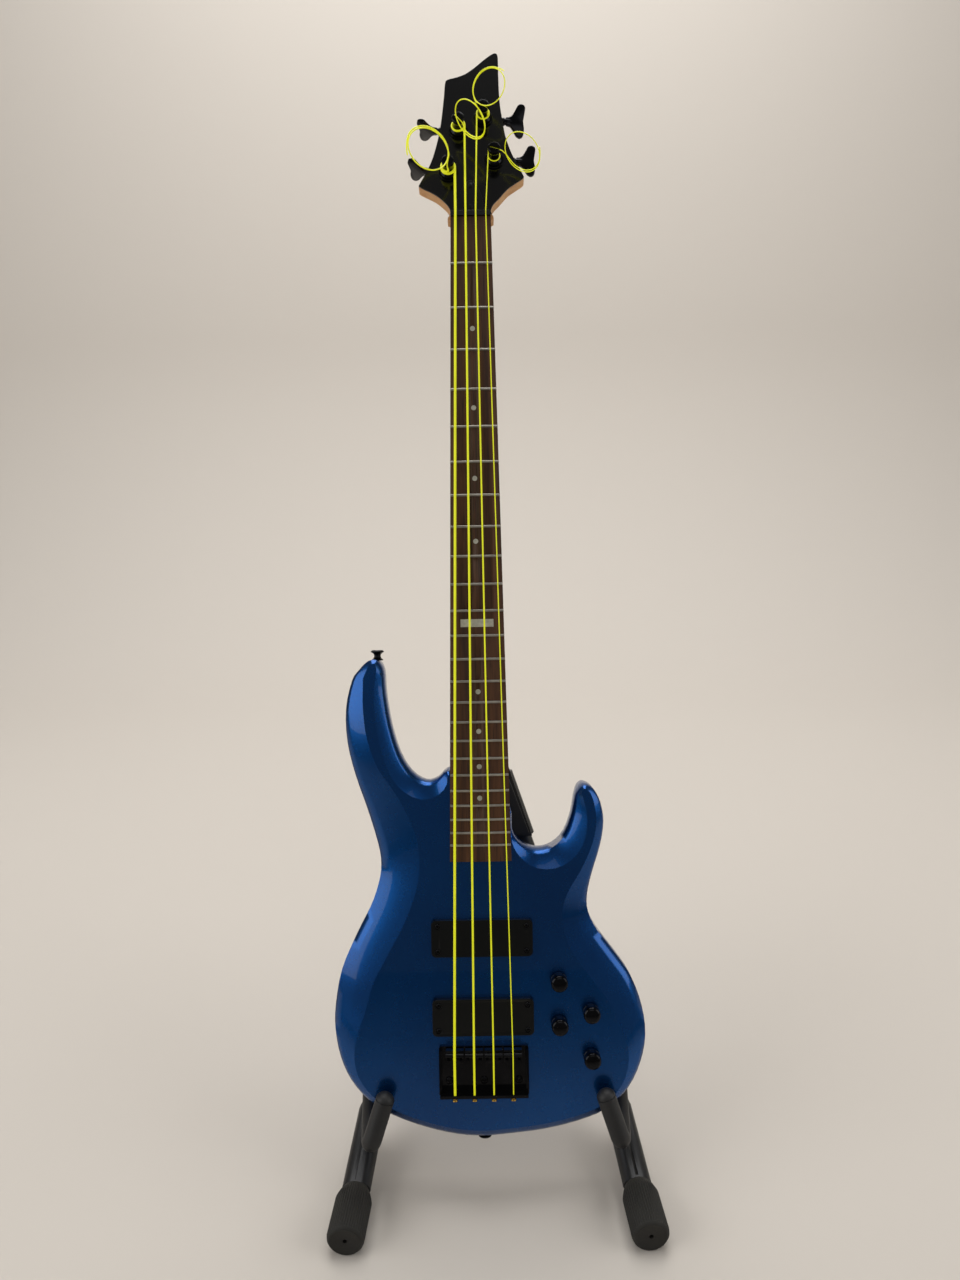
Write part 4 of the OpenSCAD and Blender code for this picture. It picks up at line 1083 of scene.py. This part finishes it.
@dataclass
class Stand:
    """Ribbed feet and the foam hooks that the body stands in, for both sides."""

    foot_radius: float = 19.0
    foot_length: float = 60.13
    foot_front: Point = (151.0, -218.5, 18.5)
    foot_back: Point = (147.0, -158.5, 18.5)
    foot_collar: tuple[tuple[float, float], ...] = ((0, 2), (12.6, 2), (13.2, 0.4), (14.4, 0.6), (16.4, 5))
    foot_shoulder: tuple[float, float, float] = (0.9, 10.0, 13.0)
    foot_rim: tuple[tuple[float, float], ...] = ((0, 5.5), (0.7, 2.6), (2.2, 0.6), (3.6, 0), (4.6, 0.5))
    foot_hole: tuple[tuple[float, float], ...] = ((3.2, 0.9), (2.4, 1.2), (2.2, 6), (0, 6))
    ribs: int = 46
    rib_steps: int = 4
    rib_depth: float = 0.8
    rib_reach: float = 1.0
    rib_span: tuple[float, float] = (6.0, 3.0)
    foam_radius: float = 9.75
    hook_seat: float = 34.25
    hook_under: float = 1.26
    hook_drop: float = 21.0
    root: Point = (136.0, 70.0, 42.0)
    bend_x: float = 129.0
    bend_ahead: float = 4.0
    tip_shift: Point = (-15.0, 0.0, 46.0)
    foam_from: float = 0.24
    bend_reach: float = 9.0
    straight_steps: int = 8
    bend_steps: int = 9
    start_inset: float = 1.2
    start_share: float = 0.12
    plug: tuple[tuple[float, float], ...] = (
        (0.4, 0.7), (1.0, 0.7), (1.4, 0), (3.4, 0.25), (5.6, 1.5), (7.6, 3.7), (9.0, 6.4), (9.7, 9.2))

    def side_frame(self, side: Side) -> Matrix:
        """Returns the mirror that takes the treble side's shape to a side."""
        return Matrix.Scale(side.value, 4, (1, 0, 0))

    def foot(self, side: Side) -> bpy.types.Object:
        """Builds a foot: a tapered shoulder, lengthwise ribs, a rounded rim and a sunk end disc."""
        front, back = Vector(self.foot_front), Vector(self.foot_back)
        base = Matrix.Translation(back) @ (front - back).to_track_quat("Z", "Y").to_matrix().to_4x4()
        r, end, steps = self.foot_radius, self.foot_length, self.ribs * self.rib_steps
        inset, low, high = self.foot_shoulder
        rim = [(r - inset, end - drop) for inset, drop in self.foot_rim]
        hole = [(radius, end - drop) for radius, drop in self.foot_hole]
        bm = lathe([*self.foot_collar, (r - inset, low), (r, high), *rim, *hole], Matrix(), steps)
        after, before = self.rib_span
        for vert in bm.verts:
            if after < vert.co.z < end - before and vert.co.xy.length > r - self.rib_reach:
                step = round(math.degrees(math.atan2(vert.co.y, vert.co.x)) / (360 / steps))
                if step % self.rib_steps >= self.rib_steps / 2:
                    vert.co.xy *= 1 - self.rib_depth / r
        bm_moved(bm, TO_METRES @ self.side_frame(side) @ base)
        cut = bmesh.ops.bisect_plane(bm, geom=bm.verts[:] + bm.edges[:] + bm.faces[:], plane_co=(0, 0, 0),
                                     plane_no=(0, 0, -1), clear_outer=True)["geom_cut"]
        bmesh.ops.holes_fill(bm, edges=only(cut, bmesh.types.BMEdge))
        bmesh.ops.recalc_face_normals(bm, faces=bm.faces)
        return mesh_object(f"foot_{side.word}_ribbed", bm, 32)

    def hook_path(self) -> list[Vector]:
        """Returns the foam's centre line: forwards under the body, a round bend, then up in front of it."""
        hook_z = self.hook_seat - self.foam_radius * self.hook_under - self.hook_drop
        root = Vector(self.root) + Vector((0, 0, hook_z))
        corner = Vector((self.bend_x, -self.foam_radius - self.bend_ahead, hook_z))
        tip = corner + Vector(self.tip_shift)
        start = root.lerp(corner, self.foam_from)
        before = corner - (corner - root).normalized() * self.bend_reach
        after = corner + (tip - corner).normalized() * self.bend_reach
        count = self.straight_steps
        points = [start.lerp(before, t / count) for t in range(count + 1)]
        for i in range(1, self.bend_steps):
            t = i / self.bend_steps
            points.append(before * (1 - t) ** 2 + corner * (2 * t * (1 - t)) + after * t * t)
        return points + [after.lerp(tip, t / count) for t in range(count + 1)]

    def foam(self, side: Side) -> bpy.types.Object:
        """Builds a hook's foam sleeve with its domed end plug."""
        path = self.hook_path()
        r = self.foam_radius
        radii = [r - self.start_inset] + [r] * len(path)
        path.insert(1, path[0].lerp(path[1], self.start_share))
        tip, out = path[-1], (path[-1] - path[-2]).normalized()
        for rise, inset in self.plug:
            path.append(tip + out * rise)
            radii.append(r - inset)
        bm = sweep(path, radii, IN_STAND @ self.side_frame(side))
        return mesh_object(f"hook_sleeve_{side.word}", bm, 50)

    def build(self) -> None:
        """Builds the feet and the hooks' foam."""
        for side in Side:
            place(self.foot(side), Paint.RUBBER, side.word + "_leg", "foot_" + side.word)
            foam = place(self.foam(side), Paint.FOAM, side.word + "_leg", "hook_foam_" + side.word)


# ------------------------------------------------------------------ studio


@dataclass(frozen=True)
class Lamp:
    """One soft square lamp: its place and the point it faces in metres, its side and its power in watts."""

    name: str
    where: Point
    target: Point
    size: float
    power: float

    def hang(self) -> None:
        """Adds the lamp to the scene."""
        data = bpy.data.lights.new(self.name, "AREA")
        data.size = self.size
        data.energy = self.power
        lamp = linked(self.name, data)
        lamp.location = self.where
        lamp.rotation_euler = (Vector(self.target) - Vector(self.where)).to_track_quat("-Z", "Y").to_euler()


@dataclass
class Studio:
    """Pale floor with painted shade far in front of the object, plain soft light and the camera."""

    camera_place: Point = (-0.0086, -0.9535, 0.855)
    camera_down: float = 73.3
    camera_roll: float = -0.9
    lens: float = 27.03
    sensor: float = 36.0
    floor_colour: str = "#cfc8bf"
    # Colour of the sheet far in front of the object: painted shade, where less light reaches
    far_colour: str = "#8f8980"
    room_colour: str = "#f2efec"
    room_light: float = 0.18
    # Places along y, in metres, where the painted shade is full and where the sheet is pale again
    dull_from: float = -1.8
    pale_from: float = -0.5
    near: float = -6.0
    bend: float = 1.35
    bend_radius: float = 0.9
    bend_steps: int = 16
    top: float = 4.5
    half_width: float = 8.0
    paper_roughness: float = 0.9
    paper_ior: float = 1.3
    clip_start: float = 0.05
    lamps: tuple[Lamp, ...] = (
        Lamp("left_window", (-2.4, -1.0, 1.5), (0.0, 0.2, 0.8), 2.2, 34.0),
        Lamp("right_window", (2.5, -0.6, 1.5), (0.0, 0.3, 0.8), 1.9, 24.0),
        Lamp("rear_top", (0.0, 1.0, 2.9), (0.0, 1.1, 0.0), 2.2, 62.0),
        Lamp("front_fill", (0.2, -1.9, 1.9), (0.1, 0.2, 1.4), 1.2, 4.0),
    )

    def sheet_paper(self) -> bpy.types.Material:
        """Returns the dull paper of the sheet, pale round the object, with painted shade that darkens it far
        in front of it.
        """
        material = bpy.data.materials.new("pale_sheet")
        material.use_nodes = True
        tree = material.node_tree
        shader = tree.nodes["Principled BSDF"]
        spot = add_node(tree, "SeparateXYZ", {"Vector": add_node(tree, "TexCoord").outputs["Object"]})
        # Painted shade: the sheet turns darker towards the front, away from the object
        share = add_node(tree, "MapRange", {
            "Value": spot.outputs["Y"], "From Min": self.dull_from, "From Max": self.pale_from})
        mixed = add_node(tree, "Mix", {
            "Factor": share.outputs["Result"], 6: linear(self.far_colour), 7: linear(self.floor_colour)},
            data_type="RGBA")
        tree.links.new(mixed.outputs[2], shader.inputs["Base Color"])
        shader.inputs["Roughness"].default_value = self.paper_roughness
        shader.inputs["IOR"].default_value = self.paper_ior
        return material

    def backdrop(self) -> None:
        """Lays a pale sheet that runs from the floor up behind the object, which isn't part of the object."""
        r = self.bend_radius
        angles = [math.pi / 2 * i / self.bend_steps for i in range(self.bend_steps + 1)]
        curve = [(self.bend + r * math.sin(angle), r - r * math.cos(angle)) for angle in angles]
        line = [(self.near, 0.0), *curve, (self.bend + r, self.top)]
        bm = bmesh.new()
        verts = [bm.verts.new((-self.half_width, y, z)) for y, z in line]
        edges = [bm.edges.new(pair) for pair in zip(verts, verts[1:])]
        made = bmesh.ops.extrude_edge_only(bm, edges=edges)["geom"]
        bmesh.ops.translate(bm, vec=(2 * self.half_width, 0, 0), verts=only(made, bmesh.types.BMVert))
        bmesh.ops.recalc_face_normals(bm, faces=bm.faces)
        sheet = mesh_object("backdrop", bm, 60)
        sheet.data.materials.append(self.sheet_paper())

    def world(self) -> None:
        """Sets the even, plain surround that fills the shadows and that the gloss shows beyond the sheet."""
        world = bpy.data.worlds.new("studio")
        bpy.context.scene.world = world
        world.use_nodes = True
        tree = world.node_tree
        tree.nodes.clear()
        room = add_node(tree, "Background", {"Color": linear(self.room_colour), "Strength": self.room_light})
        add_node(tree, "OutputWorld", {"Surface": room.outputs[0]})

    def camera(self) -> None:
        """Sets the camera where the viewer stood."""
        data = bpy.data.cameras.new("camera")
        data.sensor_width = self.sensor
        data.lens = self.lens
        data.clip_start = self.clip_start
        camera = linked("camera", data)
        turn = turned(self.camera_down, "X") @ turned(self.camera_roll, "Z")
        camera.matrix_world = Matrix.Translation(self.camera_place) @ turn
        bpy.context.scene.camera = camera

    def build(self) -> None:
        """Builds the studio."""
        self.backdrop()
        self.world()
        for lamp in self.lamps:
            lamp.hang()
        self.camera()
        bpy.context.scene.view_settings.view_transform = "Standard"


# Finish of each CAD solid that keeps its shape, and the width in millimetres of its edges' rounding
DRESSED: dict[str, tuple[Paint, float]] = {
    "body": (Paint.BODY, 0.0), "neck": (Paint.MAPLE, 0.0), "headstock_veneer": (Paint.GLOSS_BLACK, 0.8),
    "fretboard": (Paint.ROSEWOOD, 0.0), "frets": (Paint.NICKEL, 0.0), "nut": (Paint.GLOSS_BLACK, 0.3),
    "fret_markers": (Paint.PEARL, 0.0), "truss_rod": (Paint.STEEL, 0.0),
    "truss_rod_cover": (Paint.PICKUP, 0.4),
    "neck_ferrules": (Paint.BLACK_PLATE, 0.3), "neck_screws": (Paint.BLACK_PLATE, 0.2),
    "pickup_neck": (Paint.PICKUP, 1.2), "pickup_bridge": (Paint.PICKUP, 1.2),
    "bridge_plate": (Paint.BLACK_PLATE, 0.5), "intonation_screws": (Paint.BLACK_PLATE, 0.2),
    "tuner_housings": (Paint.BLACK_PLATE, 0.8), "tuner_bushings": (Paint.BLACK_PLATE, 0.3),
    "potentiometers": (Paint.STEEL, 0.0), "control_cover": (Paint.PICKUP, 0.4),
    "cover_screws": (Paint.BLACK_PLATE, 0.2),
    "strap_buttons": (Paint.BLACK_PLATE, 0.0), "output_jack": (Paint.BLACK_PLATE, 0.3),
    "stand_head": (Paint.STAND, 1.0), "head_pad": (Paint.FOAM, 0.8), "leg_left": (Paint.STAND, 0.0),
    "leg_right": (Paint.STAND, 0.0), "rear_leg": (Paint.STAND, 0.5), "rear_foot": (Paint.RUBBER, 0.8),
    **{f"saddle_{n}": (Paint.BLACK_PLATE, 0.4) for n in "eadg"},
}


def main() -> None:
    """Builds every piece in order and reports it."""
    logging.basicConfig(level=logging.INFO, format="%(name)s: %(message)s")
    Studio().build()
    strings = StringSet()
    strings.build()
    Hardware().build(strings)
    Tuners().build()
    Knobs().build()
    Stand().build()
    for node, (paint, bevel) in DRESSED.items():
        refined(node, paint, bevel)
    crease(bpy.data.objects["body_dressed"], (IN_GUITAR.to_3x3() @ Vector((0, -1, 0))).normalized())


if __name__ == "__main__":
    main()
